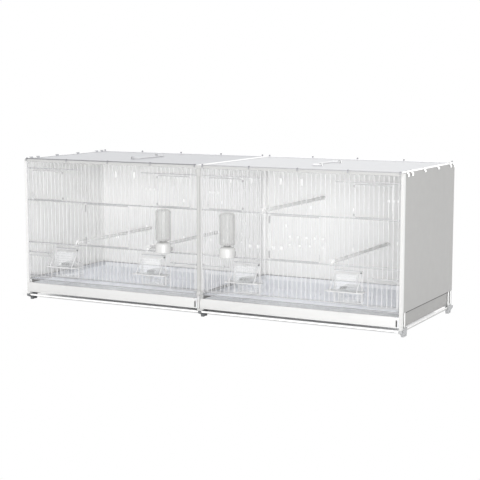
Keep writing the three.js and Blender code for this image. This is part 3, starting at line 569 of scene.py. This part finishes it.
# Doors: a bent frame, bars, two coiled eyes and a spring hook
door = {"gap": 0.8, "railGap": 2.4, "eyeRadius": 2.0, "eyeWire": 0.7, "eyePitch": 1.5, "eyeInset": 2.4,
        "hookLength": 20, "hookWire": 0.9, "hookFront": -2.3, "hookRoot": -0.4, "hookLift": 2.4,
        "hookBend": 1.2, "thumbBend": 0.1}
nestDoor = {"heights": (cage["secondRail"] + door["railGap"], 396.5), "eye": 6}
middleDoor = {"heights": (cage["thirdRail"] + door["railGap"], cage["secondRail"] - door["railGap"]), "eye": 20}


def makeDoor(name, x, sign, bars, heights, eye):
    d = door
    first, last = bars
    r = cage["lineRadius"]
    near = barX(first) + cage["barRadius"] + d["gap"] + r
    far = barX(last) - cage["barRadius"] - d["gap"] - r
    low, high = heights[0] + r, heights[1] - r
    frameWire = uprightLoop(x, sign, near, far, 0, low, high)
    leaf = startPiece("leaf")
    for index in range(first + 1, last):
        u = x + sign * barX(index)
        addRod(at(u, 0, low), at(u, 0, high), cage["barRadius"], 8)
    hinge = x + sign * barX(first)
    turns = max(3, round(eye / d["eyePitch"]))
    for start in (low + d["eyeInset"], high - d["eyeInset"] - eye):
        for turn in range(turns):
            addRing(at(hinge, 0, start + eye * (turn + 0.5) / turns), d["eyeRadius"], d["eyeWire"])
    hookX = x + sign * barX(last)
    foot = heights[0] + d["hookLift"]
    middle = foot + d["hookLength"] / 2
    y = d["hookFront"]
    hook = bentWire([
        at(x + sign * far, d["hookRoot"], middle), at(x + sign * far, y, middle), at(hookX, y, middle),
        at(hookX, y, foot),
    ], d["hookWire"], d["hookBend"])
    thumb = bentWire([at(hookX, y, middle), at(hookX, y, foot + d["hookLength"])], d["hookWire"], d["thumbBend"])
    obj = joined(name + "_wires", frameWire, leaf, hook, thumb)
    smoothed(obj)
    dress(obj, paint["wire"], name, "wire", name)


for side, sign in enumerate(sides.values()):
    x = sign * cage["module"]
    for half, way in enumerate((-1, 1)):
        makeDoor(f"nest_door_{2 * side + half + 1}", x, way, front["nestBars"], **nestDoor)
    makeDoor(f"middle_door_{side + 1}", x, 1, front["middleBars"], **middleDoor)

flap = {"y": -3.1, "low": 74, "high": 141, "outer": 290.8, "eyeRadius": 2.4, "eyeInset": 2.4, "eyeSpread": 0.7,
        "hangerRadius": 0.9, "hangerSetBack": 0.5, "hangerTop": 148}


def makeFlap(name, x, sign):
    f = flap
    r = cage["lineRadius"]
    near = barX(front["cornerFrom"]) + cage["barRadius"] + door["gap"] + r
    low, high, y = f["low"] + r, f["high"] - r, f["y"]
    frameWire = uprightLoop(x, sign, near, f["outer"] - r, y, low, high)
    leaf = startPiece("leaf")
    indexes = range(front["cornerFrom"] + 1, front["lastBar"] + 1)
    for index in indexes:
        u = x + sign * barX(index)
        addRod(at(u, y, low), at(u, y, high), cage["barRadius"], 8)
    for index in (indexes[0], indexes[-1]):
        u = x + sign * (barX(index) + f["eyeInset"])
        for step in (-f["eyeSpread"], f["eyeSpread"]):
            addRing(at(u + step, 0, front["cornerLine"]), f["eyeRadius"], door["eyeWire"], (0, math.pi / 2, 0))
        addRod(at(u, y, high), at(u, y + f["hangerSetBack"], f["hangerTop"]), f["hangerRadius"], 8)
    obj = joined(name + "_wires", frameWire, leaf)
    smoothed(obj)
    dress(obj, paint["wire"], name, "wire", name)


for side, sign in enumerate(sides.values()):
    for half, way in enumerate((-1, 1)):
        makeFlap(f"corner_door_{2 * side + half + 1}", sign * cage["module"], way)
print("doors made")


# Feeders on their brackets. The strut goes down through points of (y, z).
bracket = {"middleBar": 11, "bars": 2, "barTop": 113.6, "half": 39.1, "low": 80.4, "high": 165,
           "ledge": 52.5, "ledgeLow": 112.6, "ledgeHigh": 115, "ledgeFront": -35.5, "ledgeBack": -1.5,
           "ledgeLift": 1.2, "ledgeEdge": 0.4, "rim": 1.1, "rimBend": 3,
           "strut": 1.2, "strutPath": ((0, 159), (-4, 157), (-34, 118), (-34, 113.6)), "strutBend": 3,
           "knob": 4.6, "knobEdge": 0.8}
feeder = {"half": 31, "low": 115.3, "high": 158, "back": -2.7, "bottomFront": -30.7, "topFront": -18.7,
          "wall": 1.5, "edge": 2.2, "neckHalf": 23, "neckFront": -2.9, "neckBack": 2.7, "neckHigh": 124.3,
          "neckEdge": 0.6, "hoodHalf": 29, "hoodFront": 1.9, "hoodBack": 38.9, "hoodLow": 79.9, "hoodHigh": 124.9,
          "hoodCorner": 16, "mouthRim": 6.2, "throatRim": 9, "lipHalf": 23, "lipZ": 89.9, "lipRadius": 1.2,
          "ribs": 6, "ribStart": 0.8, "ribSpare": 0.4, "ribInset": 3, "ribRadius": 0.9, "sunk": 0.2}


def makeBracket(name, body, x):
    b = bracket
    r = cage["lineRadius"]
    half = b["half"] - r
    frameWire = uprightLoop(x, 1, -half, half, 0, b["low"] + r, b["high"] - r)
    leaf = startPiece("leaf")
    for index in range(-b["bars"], b["bars"] + 1):
        u = x + barX(index)
        addRod(at(u, 0, b["low"] + r), at(u, 0, b["barTop"]), cage["barRadius"], 8)
    z = b["ledgeLow"] + b["ledgeLift"]
    addRod(at(x - half, 0, z), at(x + half, 0, z), r)
    addBlock(at(x - b["ledge"], b["ledgeFront"], z), at(x + b["ledge"], b["ledgeBack"], b["ledgeHigh"]),
             b["ledgeEdge"])
    reach, z = b["ledge"] - b["rim"], b["ledgeLow"] + b["rim"]
    near, far = b["ledgeBack"] - b["rim"], b["ledgeFront"] + b["rim"]
    corners = [(-reach, near), (-reach, far), (reach, far), (reach, near)]
    rim = bentWire([at(x + u, y, z) for u, y in corners], b["rim"], b["rimBend"])
    parts = [frameWire, leaf, rim]
    for sign in (-1, 1):
        points = [at(x + sign * half, y, z) for y, z in b["strutPath"]]
        parts.append(bentWire(points, b["strut"], b["strutBend"]))
    obj = joined(name + "_wires", *parts)
    smoothed(obj)
    dress(obj, paint["bracket_wire"], body, "wire", name)
    knob = startPiece(name + "_knob")
    radius = b["knob"] / 2
    bpy.ops.mesh.primitive_cylinder_add(vertices=20, radius=radius / 1000, depth=b["knob"] / 1000,
                                        location=at(x + b["half"] - radius, -radius, b["high"] - radius),
                                        rotation=(math.pi / 2, 0, 0))
    soften(b["knobEdge"])
    smoothed(knob)
    dress(knob, paint["foot_plastic"], body, "wire")


def makeHopper(x):
    # a box with an open top, whose front leans in towards it
    f = feeder
    hopper = startPiece("hopper")
    addBlock(at(x - f["half"], f["bottomFront"], f["low"]), at(x + f["half"], f["back"], f["high"]))
    pick(hopper)
    top, middle = at(0, 0, f["high"] - 1).z, at(0, (f["bottomFront"] + f["back"]) / 2, 0).y
    for vertex in hopper.data.vertices:
        if vertex.co.z > top and vertex.co.y < middle:
            vertex.co.y = at(0, f["topFront"], 0).y
    choose(hopper, lambda normal: normal.z > 0.9)
    bpy.ops.mesh.delete(type="FACE")
    bpy.ops.mesh.select_all(action="SELECT")
    soften(f["edge"], 3)
    hollowed(hopper, f["wall"])
    return hopper


def makeHood(x):
    # round above, with its mouth behind and a throat to the hopper in front
    f = feeder
    hood = startPiece("hood")
    addBlock(at(x - f["hoodHalf"], f["hoodFront"], f["hoodLow"]), at(x + f["hoodHalf"], f["hoodBack"], f["hoodHigh"]))
    chooseUpperEdges(hood, at(0, 0, f["hoodHigh"] - 1).z)
    soften(f["hoodCorner"], 7)
    choose(hood, lambda normal: normal.y > 0.9)
    bpy.ops.mesh.inset(thickness=f["mouthRim"] / 1000, depth=0)
    bpy.ops.mesh.delete(type="FACE")
    choose(hood, lambda normal: normal.y < -0.9)
    bpy.ops.mesh.inset(thickness=f["throatRim"] / 1000, depth=0)
    bpy.ops.mesh.delete(type="FACE")
    hollowed(hood, f["wall"])
    return hood


def makeFeeder(name, body, x):
    f = feeder
    hopper = makeHopper(x)
    hood = makeHood(x)
    neck = startPiece("neck")
    addBlock(at(x - f["neckHalf"], f["neckFront"], f["low"]), at(x + f["neckHalf"], f["neckBack"], f["neckHigh"]),
             f["neckEdge"])
    ribs = startPiece("ribs")
    reach = f["half"] - f["ribInset"]
    for i in range(f["ribs"]):
        t = (i + f["ribStart"]) / (f["ribs"] + f["ribSpare"])
        y = f["bottomFront"] + (f["topFront"] - f["bottomFront"]) * t - f["sunk"]
        z = f["low"] + (f["high"] - f["low"]) * t
        addRod(at(x - reach, y, z), at(x + reach, y, z), f["ribRadius"], 8)
    y, z = f["hoodBack"] - f["sunk"], f["lipZ"]
    addRod(at(x - f["lipHalf"], y, z), at(x + f["lipHalf"], y, z), f["lipRadius"])
    obj = joined(name + "_moulding", hopper, hood, neck, ribs)
    smoothed(obj, 40)
    dress(obj, paint["feeder_plastic"], body, "clear_plastic", name)


for side, sign in enumerate(sides.values()):
    for half, way in enumerate((-1, 1)):
        number = 2 * side + half + 1
        x = sign * cage["module"] + way * barX(bracket["middleBar"])
        makeBracket(f"feeder_bracket_{number}", f"feeder_unit_{number}", x)
        makeFeeder(f"feeder_{number}", f"feeder_unit_{number}", x)
print("feeders made")


# Drinkers: a clear bottle, neck down in a white cup with a trough between two bars.
# The profiles are turned from points of (radius, z).
drinker = {
    "bar": 14.5,
    "y": -26,
    "cup": ((0, 180.4), (20.2, 180.4), (22, 182.2), (22, 203), (21, 206), (18.2, 208.8), (11.6, 211.2),
            (10.1, 211.2), (9.9, 210), (9.9, 207.6), (17.4, 206), (20.4, 203), (20.4, 183.4), (0, 182)),
    "bottle": ((9.3, 196), (9.3, 213.2), (17, 214.2), (21, 216.4), (21.8, 219.5), (21.8, 296), (21, 299),
               (17, 302.6), (9, 303.6), (0, 303.2)),
    "wall": 1.3,
    "troughHalf": 4.5,
    "troughFront": -6,
    "troughBack": 18,
    "troughLow": 180.6,
    "troughHigh": 192.4,
    "troughWall": 1.3,
    "troughDepth": 9.5,
    "troughEdge": 0.5,
    "hookY": 4.2,
    "hookHigh": 181.4,
    "hookLow": 177,
    "hookWire": 1.0,
    "hookBend": 0.1,
}


def lathe(name, profile, x, y, count=36):
    points = [at(x + r, y, z) for r, z in profile]
    obj = startPiece(name, points, [(i, i + 1) for i in range(len(points) - 1)])
    bpy.ops.mesh.spin(steps=count, angle=2 * math.pi, center=at(x, y, 0), axis=(0, 0, 1))
    bpy.ops.mesh.select_all(action="SELECT")
    bpy.ops.mesh.remove_doubles(threshold=0.00005)
    bpy.ops.mesh.normals_make_consistent(inside=False)
    return obj


def makeDrinker(number, x):
    d = drinker
    cup = lathe("cup", d["cup"], x, d["y"])
    trough = startPiece("trough")
    addBlock(at(x - d["troughHalf"], d["troughFront"], d["troughLow"]),
             at(x + d["troughHalf"], d["troughBack"], d["troughHigh"]))
    choose(trough, lambda normal: normal.z > 0.9)
    bpy.ops.mesh.inset(thickness=d["troughWall"] / 1000, depth=0)
    bpy.ops.mesh.extrude_region_move(TRANSFORM_OT_translate={"value": (0, 0, -d["troughDepth"] / 1000)})
    addBevel(trough, d["troughEdge"])
    applyModifiers(trough)
    hook = bentWire([at(x, d["hookY"], d["hookHigh"]), at(x, d["hookY"], d["hookLow"])],
                    d["hookWire"], d["hookBend"])
    cup = joined(f"drinker_base_{number}_cup", cup, trough, hook)
    smoothed(cup, 40)
    dress(cup, paint["cup_plastic"], f"drinker_base_{number}", "cup_plastic", f"drinker_base_{number}")
    bottle = lathe(f"drinker_bottle_{number}_clear", d["bottle"], x, d["y"], 40)
    addWall(bottle, d["wall"])
    applyModifiers(bottle)
    smoothed(bottle, 40)
    dress(bottle, paint["bottle_plastic"], f"drinker_bottle_{number}", "clear_plastic", f"drinker_bottle_{number}")


for number, sign in enumerate(sides.values(), 1):
    makeDrinker(number, sign * (cage["module"] - barX(drinker["bar"])))
print("drinkers made")


# Perches with a collar and a hook over the rail, at places of (side, bar, rail)
perch = {"radius": 5, "front": 3.2, "back": 412.2, "lift": 1.9, "edge": 0.8,
         "collar": 7, "collarDeep": 3, "collarEdge": 0.6,
         "hookHalf": 1.5, "hookFront": -3.4, "hookBack": -1.9, "hookRoot": 5.2, "hookDrop": 3, "hookEdge": 0.4,
         "places": ((-1, -8.5, "thirdRail"), (-1, 9.5, "thirdRail"), (1, -7.5, "secondRail"), (1, 7.5, "thirdRail"))}


def makePerch(number, x, rail):
    p = perch
    low = rail + p["lift"]
    z = low + p["radius"]
    obj = startPiece(f"perch_{number}_rod")
    addRod(at(x, p["front"], z), at(x, p["back"], z), p["radius"], 28)
    soften(p["edge"])
    addRod(at(x, p["front"], z), at(x, p["front"] + p["collarDeep"], z), p["collar"], 28)
    soften(p["collarEdge"])
    left, right = x - p["hookHalf"], x + p["hookHalf"]
    addBlock(at(left, p["hookFront"], low), at(right, p["hookRoot"], z), p["hookEdge"])
    addBlock(at(left, p["hookFront"], rail - p["hookDrop"]), at(right, p["hookBack"], z), p["hookEdge"])
    smoothed(obj)
    dress(obj, paint["perch_plastic"], f"perch_{number}", "perch_plastic", f"perch_{number}")


for number, (sign, bar, rail) in enumerate(perch["places"], 1):
    makePerch(number, sign * cage["module"] + barX(bar), cage[rail])
print("perches made")


# Trays: a pan, and a white front with round upper corners, a folded lip and, at one end, a dark strip of painted
# shadow for the gap beside the post
tray = {"half": 291.3, "front": 2.6, "back": 397, "low": 25.3, "high": 53.3, "wall": 0.8,
        "plateLeft": -297, "plateRight": 289.5, "plateFront": -4.2, "plateBack": -3.2,
        "plateLow": 26.3, "plateHigh": 55, "plateEdge": 0.3, "corner": 8,
        "lipInset": 0.6, "lipY": (-3.6, 3.4), "lipZ": (53.6, 54.6), "foldY": (2.7, 3.3), "foldZ": (47.3, 54.4),
        "slotWide": 4.4, "slotInset": 0.3, "slotLift": 3, "slotProud": 0.3, "slotEdge": 0.25}


def makeTray(word, x):
    t = tray
    name = f"tray_{word}"
    pan = startPiece(f"{name}_pan")
    addBlock(at(x - t["half"], t["front"], t["low"]), at(x + t["half"], t["back"], t["high"]))
    choose(pan, lambda normal: normal.z > 0.9)
    bpy.ops.mesh.delete(type="FACE")
    hollowed(pan, t["wall"])
    smoothed(pan)
    dress(pan, paint["tray_pan"], name, "tray_sheet", name)

    plate = startPiece(f"{name}_front")
    addBlock(at(x + t["plateLeft"], t["plateFront"], t["plateLow"]),
             at(x + t["plateRight"], t["plateBack"], t["plateHigh"]))
    chooseUpperEdges(plate, at(0, 0, t["plateHigh"] - 1).z)
    soften(t["corner"], 6)
    left, right = x - t["half"] + t["lipInset"], x + t["plateRight"] - t["corner"]
    for (near, far), (low, high) in ((t["lipY"], t["lipZ"]), (t["foldY"], t["foldZ"])):
        addBlock(at(left, near, low), at(right, far, high))
    addBevel(plate, t["plateEdge"])
    applyModifiers(plate)
    smoothed(plate)
    dress(plate, paint["tray_sheet"], name, "tray_sheet", name)

    # painted shadow: a dark strip on the front, where the gap at the tray's end lies in shade
    slot = startPiece(f"{name}_slot")
    end, proud = x + t["plateRight"], t["slotProud"]
    addBlock(at(end - t["slotWide"], t["plateFront"] - proud, t["plateLow"] + t["slotLift"]),
             at(end - t["slotInset"], t["plateFront"] + proud, t["plateHigh"] - t["corner"]), t["slotEdge"])
    smoothed(slot)
    dress(slot, paint["painted_shadow_strip"], name, "tray_sheet", name)


for word, sign in sides.items():
    makeTray(word, sign * cage["module"])
print("trays made")


# Floor grids and the divider. Clasps hold the divider's strip below and above.
grid = {"half": 291.1, "front": -0.8, "back": 397.4, "z": 65.9, "step": 12.4, "count": 31,
        "edgeWire": 1.5, "edgeBend": 5, "wireLift": 0.5, "ribDrop": 0.4}
divider = {"front": 0.8, "back": 406.7, "low": 65.8, "high": 419.2, "step": 13.5, "edgeWire": 1.5, "edgeBend": 5,
           "stripHalf": 3.3, "stripY": (-4.9, 3), "stripZ": (64.3, 420.7), "stripEdge": 0.8,
           "claspHalf": 6.7, "claspY": (-7.2, -3.2), "claspZ": ((64.3, 76.3), (398.7, 420.7)), "claspEdge": 1.2,
           "rearHalf": 3.4, "rearY": (398.5, 400.5), "rearEdge": 0.4}


def makeGrid(word, x):
    g = grid
    name = f"floor_grid_{word}"
    edge = levelLoop(x, g["half"], g["front"], g["back"], g["z"], g["edgeWire"], g["edgeBend"])
    edge.name = f"{name}_edge"
    wires = startPiece(f"{name}_wires")
    for i in range(1, g["count"] + 1):
        y, z = g["front"] + i * g["step"], g["z"] + g["wireLift"]
        addRod(at(x - g["half"], y, z), at(x + g["half"], y, z), cage["barRadius"], 8)
    z = g["z"] - g["ribDrop"]
    addRod(at(x, g["front"], z), at(x, g["back"], z), cage["lineRadius"], 8)
    for obj, look in ((wires, "grid_wire"), (edge, "edge_wire")):
        smoothed(obj)
        dress(obj, paint[look], name, "wire", name)


def makeDivider():
    d = divider
    corners = [(d["front"], d["low"]), (d["back"], d["low"]), (d["back"], d["high"]), (d["front"], d["high"])]
    edge = bentWire([at(0, y, z) for y, z in corners], d["edgeWire"], d["edgeBend"])
    wires = startPiece("wires")
    y = d["step"]
    while y < d["back"] - d["step"] / 2:
        addRod(at(0, y, d["low"]), at(0, y, d["high"]), cage["barRadius"], 8)
        y += d["step"]
    obj = joined("divider_wires", edge, wires)
    smoothed(obj)
    dress(obj, paint["divider_wire"], "divider", "divider_wire", "divider")

    strip = startPiece("divider_strip")
    (near, far), (low, high) = d["stripY"], d["stripZ"]
    addBlock(at(-d["stripHalf"], near, low), at(d["stripHalf"], far, high), d["stripEdge"])
    near, far = d["claspY"]
    for low, high in d["claspZ"]:
        addBlock(at(-d["claspHalf"], near, low), at(d["claspHalf"], far, high), d["claspEdge"], 3)
    smoothed(strip)
    dress(strip, paint["post_metal"], "divider", "white_metal", "divider")

    rear = startPiece("divider_rear_strip")
    near, far = d["rearY"]
    addBlock(at(-d["rearHalf"], near, d["low"]), at(d["rearHalf"], far, d["high"]), d["rearEdge"])
    smoothed(rear)
    dress(rear, paint["bright_sheet"], "divider", "white_metal", "divider")


for word, sign in sides.items():
    makeGrid(word, sign * cage["module"])
makeDivider()
print("grids and divider made")


# Wire base, handles, roof tabs and rods, and feet
base = {"z": 16, "x": 597, "front": 3, "back": 410.5, "wire": 3, "bend": 9,
        "leg": 2.5, "legTop": 62.7, "legs": (30, 388, 408.5)}
handle = {"x": 306, "y": 205.3, "z": 431.13, "pin": 58, "half": 72, "reach": 24, "wire": 2, "bend": 5}
tabs = {"ends": ((27.3, 417), (60, 417.5), (157.1, 420.5), (267.1, 420.5), (372.2, 419), (401.1, 418)),
        "inner": 602.05, "outer": 602.95, "top": 426, "half": 5, "edge": 0.2}  # ends are (y, lower edge)
rod = {"from": 9.3, "to": 593.9, "z": 429.55, "front": -1.7, "rear": 412.3, "radius": 1.25}
# Each clip has a leg outside the rod and an arm over it. Outsets count from the rod's middle.
clip = {"count": 5, "wide": 3, "edge": 0.5, "legOutset": (2.85, 4.35), "legZ": (423.2, 431.8),
        "armOutset": (-1.2, 4.3), "armLow": 430.7, "armTop": {"front": 432.3, "rear": 434.8}}
# the right-hand feet take a lighter copy of the foot plastic: painted light
feet = {"edge": 0.3, "looks": {"left": "foot_plastic", "centre": "foot_plastic", "right": "foot_plastic_lit"}}


def makeBase():
    b = base
    ring = levelLoop(0, b["x"], b["front"], b["back"], b["z"], b["wire"], b["bend"], 3)
    wires = startPiece("wires")
    addRod(at(0, b["front"], b["z"]), at(0, b["back"], b["z"]), b["wire"], 14)
    for sign in (-1, 1):
        for y in b["legs"]:
            addRod(at(sign * b["x"], y, b["z"]), at(sign * b["x"], y, b["legTop"]), b["leg"], 12)
    obj = joined("base_wires", ring, wires)
    smoothed(obj)
    dress(obj, paint["base_metal"], "carcass", "white_metal", "base_frame")
    # painted shade: the base wire's underside and its side faces are darker copies of its white
    coat(obj, "painted_underside_shade", (0, 0, -1))
    coat(obj, "post_metal", (1, 0, 0))
    coat(obj, "post_metal", (-1, 0, 0))


def makeHandle(word, sign):
    h = handle
    path = [(0, -h["pin"]), (0, -h["half"]), (-h["reach"], -h["half"]), (-h["reach"], h["half"]),
            (0, h["half"]), (0, h["pin"])]
    wire = bentWire([at(sign * (h["x"] + u), h["y"] + v, h["z"]) for u, v in path], h["wire"], h["bend"], roundness=4)
    wire.name = f"handle_{word}_bail"
    smoothed(wire)
    dress(wire, paint[f"handle_wire_{word}"], f"handle_{word}", "white_metal", f"handle_{word}")


def makeTabs(word, sign):
    t = tabs
    ends = startPiece(f"roof_tabs_{word}")
    left, right = sorted((sign * t["inner"], sign * t["outer"]))
    for y, low in t["ends"]:
        addBlock(at(left, y - t["half"], low), at(right, y + t["half"], t["top"]), t["edge"])
    smoothed(ends)
    dress(ends, paint["bright_sheet"], "carcass", "white_metal")


def makeRod(word, sign, place):
    r = rod
    name = f"roof_rod_{place}_{word}"
    y = r[place]
    steel = startPiece(f"{name}_steel")
    addRod(at(sign * r["from"], y, r["z"]), at(sign * r["to"], y, r["z"]), r["radius"], 12)
    smoothed(steel)
    dress(steel, paint[f"rod_{place}_{word}"], "carcass", "dark_rod", name)

    c = clip
    out = -1 if place == "front" else 1
    clips = startPiece(f"{name}_clips")
    first, last = r["from"] + c["wide"], r["to"] - c["wide"]
    for i in range(c["count"]):
        x = sign * (first + (last - first) * i / (c["count"] - 1))
        parts = ((c["legOutset"], c["legZ"]), (c["armOutset"], (c["armLow"], c["armTop"][place])))
        for outset, (low, high) in parts:
            near, far = sorted(y + out * step for step in outset)
            addBlock(at(x - c["wide"] / 2, near, low), at(x + c["wide"] / 2, far, high), c["edge"])
    smoothed(clips)
    dress(clips, paint["dark_rod"], "carcass", "dark_rod")


makeBase()
for word, sign in sides.items():
    makeHandle(word, sign)
    makeRod(word, sign, "front")
    makeRod(word, sign, "rear")
    makeTabs(word, sign)
for row in ("front", "rear"):
    for word, look in feet["looks"].items():
        foot = f"foot_{row}_{word}"
        softCopy(foot, f"{foot}_moulded", feet["edge"], paint[look], "foot_plastic", 3)
print("base, feet, handles and rods made")


# Stage, light and camera, in metres. Shade is the middle and half width in x, then in y.
studio = {
    "floorSize": 60,
    "shade": (-0.085, 0.635, 0.035, 0.155),
    "shadeEdge": 0.015,
    "world": 1.12,
    "backdrop": 1.0,
    "lights": {  # place, aim, size, power
        "top": ((-0.3, -0.6, 7.0), (0, 0, 0.2), (5.0, 5.0), 60),
        "front": ((2.3, -3.8, 0.7), (0, 0, 0.25), (2.6, 1.4), 125),
    },
    "lens": 92.07,
    "sensor": 36,
    "camera": (1.6837, -3.13425, 0.6709),
    "tilt": 0.1321,
    "turn": 0.4853,
}
white = (1, 1, 1, 1)


def distance(tree, value, middle, half, soft):
    # 0 within half of the middle, rising to 1 over the soft margin
    ramp = tree.nodes.new("ShaderNodeMapRange")
    ramp.inputs["From Min"].default_value = half
    ramp.inputs["From Max"].default_value = half + soft
    tree.links.new(calc(tree, "ABSOLUTE", calc(tree, "SUBTRACT", value, middle)), ramp.inputs["Value"])
    return ramp.outputs["Result"]


def mixedShader(tree, factor, first, second, output):
    mix = tree.nodes.new("ShaderNodeMixShader")
    tree.links.new(factor, mix.inputs["Fac"])
    tree.links.new(first.outputs[0], mix.inputs[1])
    tree.links.new(second.outputs[0], mix.inputs[2])
    tree.links.new(mix.outputs[0], tree.nodes[output].inputs["Surface"])


def seenDirectly(tree):
    return tree.nodes.new("ShaderNodeLightPath").outputs["Is Camera Ray"]


def makeStage():
    deselect()
    bpy.ops.mesh.primitive_plane_add(size=studio["floorSize"])
    floor = bpy.context.object
    floor.name = "floor"
    material = bpy.data.materials.new("stage")
    material.use_nodes = True
    tree = material.node_tree
    shader = tree.nodes["Principled BSDF"]
    shader.inputs["Base Color"].default_value = (0.96, 0.96, 0.96, 1)
    shader.inputs["Roughness"].default_value = 0.9
    # a light table: it glows white to the eye everywhere but in the shade under the cage
    glow = tree.nodes.new("ShaderNodeEmission")
    glow.inputs["Color"].default_value = white
    place = parted(tree, coordinate(tree, "Object"))
    middleX, halfX, middleY, halfY = studio["shade"]
    outside = calc(tree, "MAXIMUM", distance(tree, place["X"], middleX, halfX, studio["shadeEdge"]),
                   distance(tree, place["Y"], middleY, halfY, studio["shadeEdge"]))
    seen = calc(tree, "MULTIPLY", outside, seenDirectly(tree))
    mixedShader(tree, seen, shader, glow, "Material Output")
    floor.data.materials.append(material)


def addLight(name, place, aim, size, power):
    light = bpy.data.lights.new(name, "AREA")
    light.shape = "RECTANGLE"
    light.size, light.size_y = size
    light.energy = power
    obj = bpy.data.objects.new(name, light)
    bpy.context.collection.objects.link(obj)
    obj.location = place
    obj.rotation_euler = (Vector(aim) - Vector(place)).to_track_quat("-Z", "Y").to_euler()


def makeCamera():
    data = bpy.data.cameras.new("camera")
    data.lens = studio["lens"]
    data.sensor_width = studio["sensor"]
    camera = bpy.data.objects.new("camera", data)
    bpy.context.collection.objects.link(camera)
    camera.location = studio["camera"]
    camera.rotation_euler = (math.pi / 2 - studio["tilt"], 0, studio["turn"])
    bpy.context.scene.camera = camera


def makeWorld():
    # the surroundings light the cage softly and show as a white backdrop
    world = bpy.data.worlds.new("world")
    world.use_nodes = True
    tree = world.node_tree
    soft = tree.nodes["Background"]
    soft.inputs["Color"].default_value = white
    soft.inputs["Strength"].default_value = studio["world"]
    backdrop = tree.nodes.new("ShaderNodeBackground")
    backdrop.inputs["Color"].default_value = white
    backdrop.inputs["Strength"].default_value = studio["backdrop"]
    mixedShader(tree, seenDirectly(tree), soft, backdrop, "World Output")
    bpy.context.scene.world = world


makeStage()
for name, values in studio["lights"].items():
    addLight(name, *values)
makeWorld()
bpy.context.scene.view_settings.view_transform = "Standard"
makeCamera()
print("stage set")
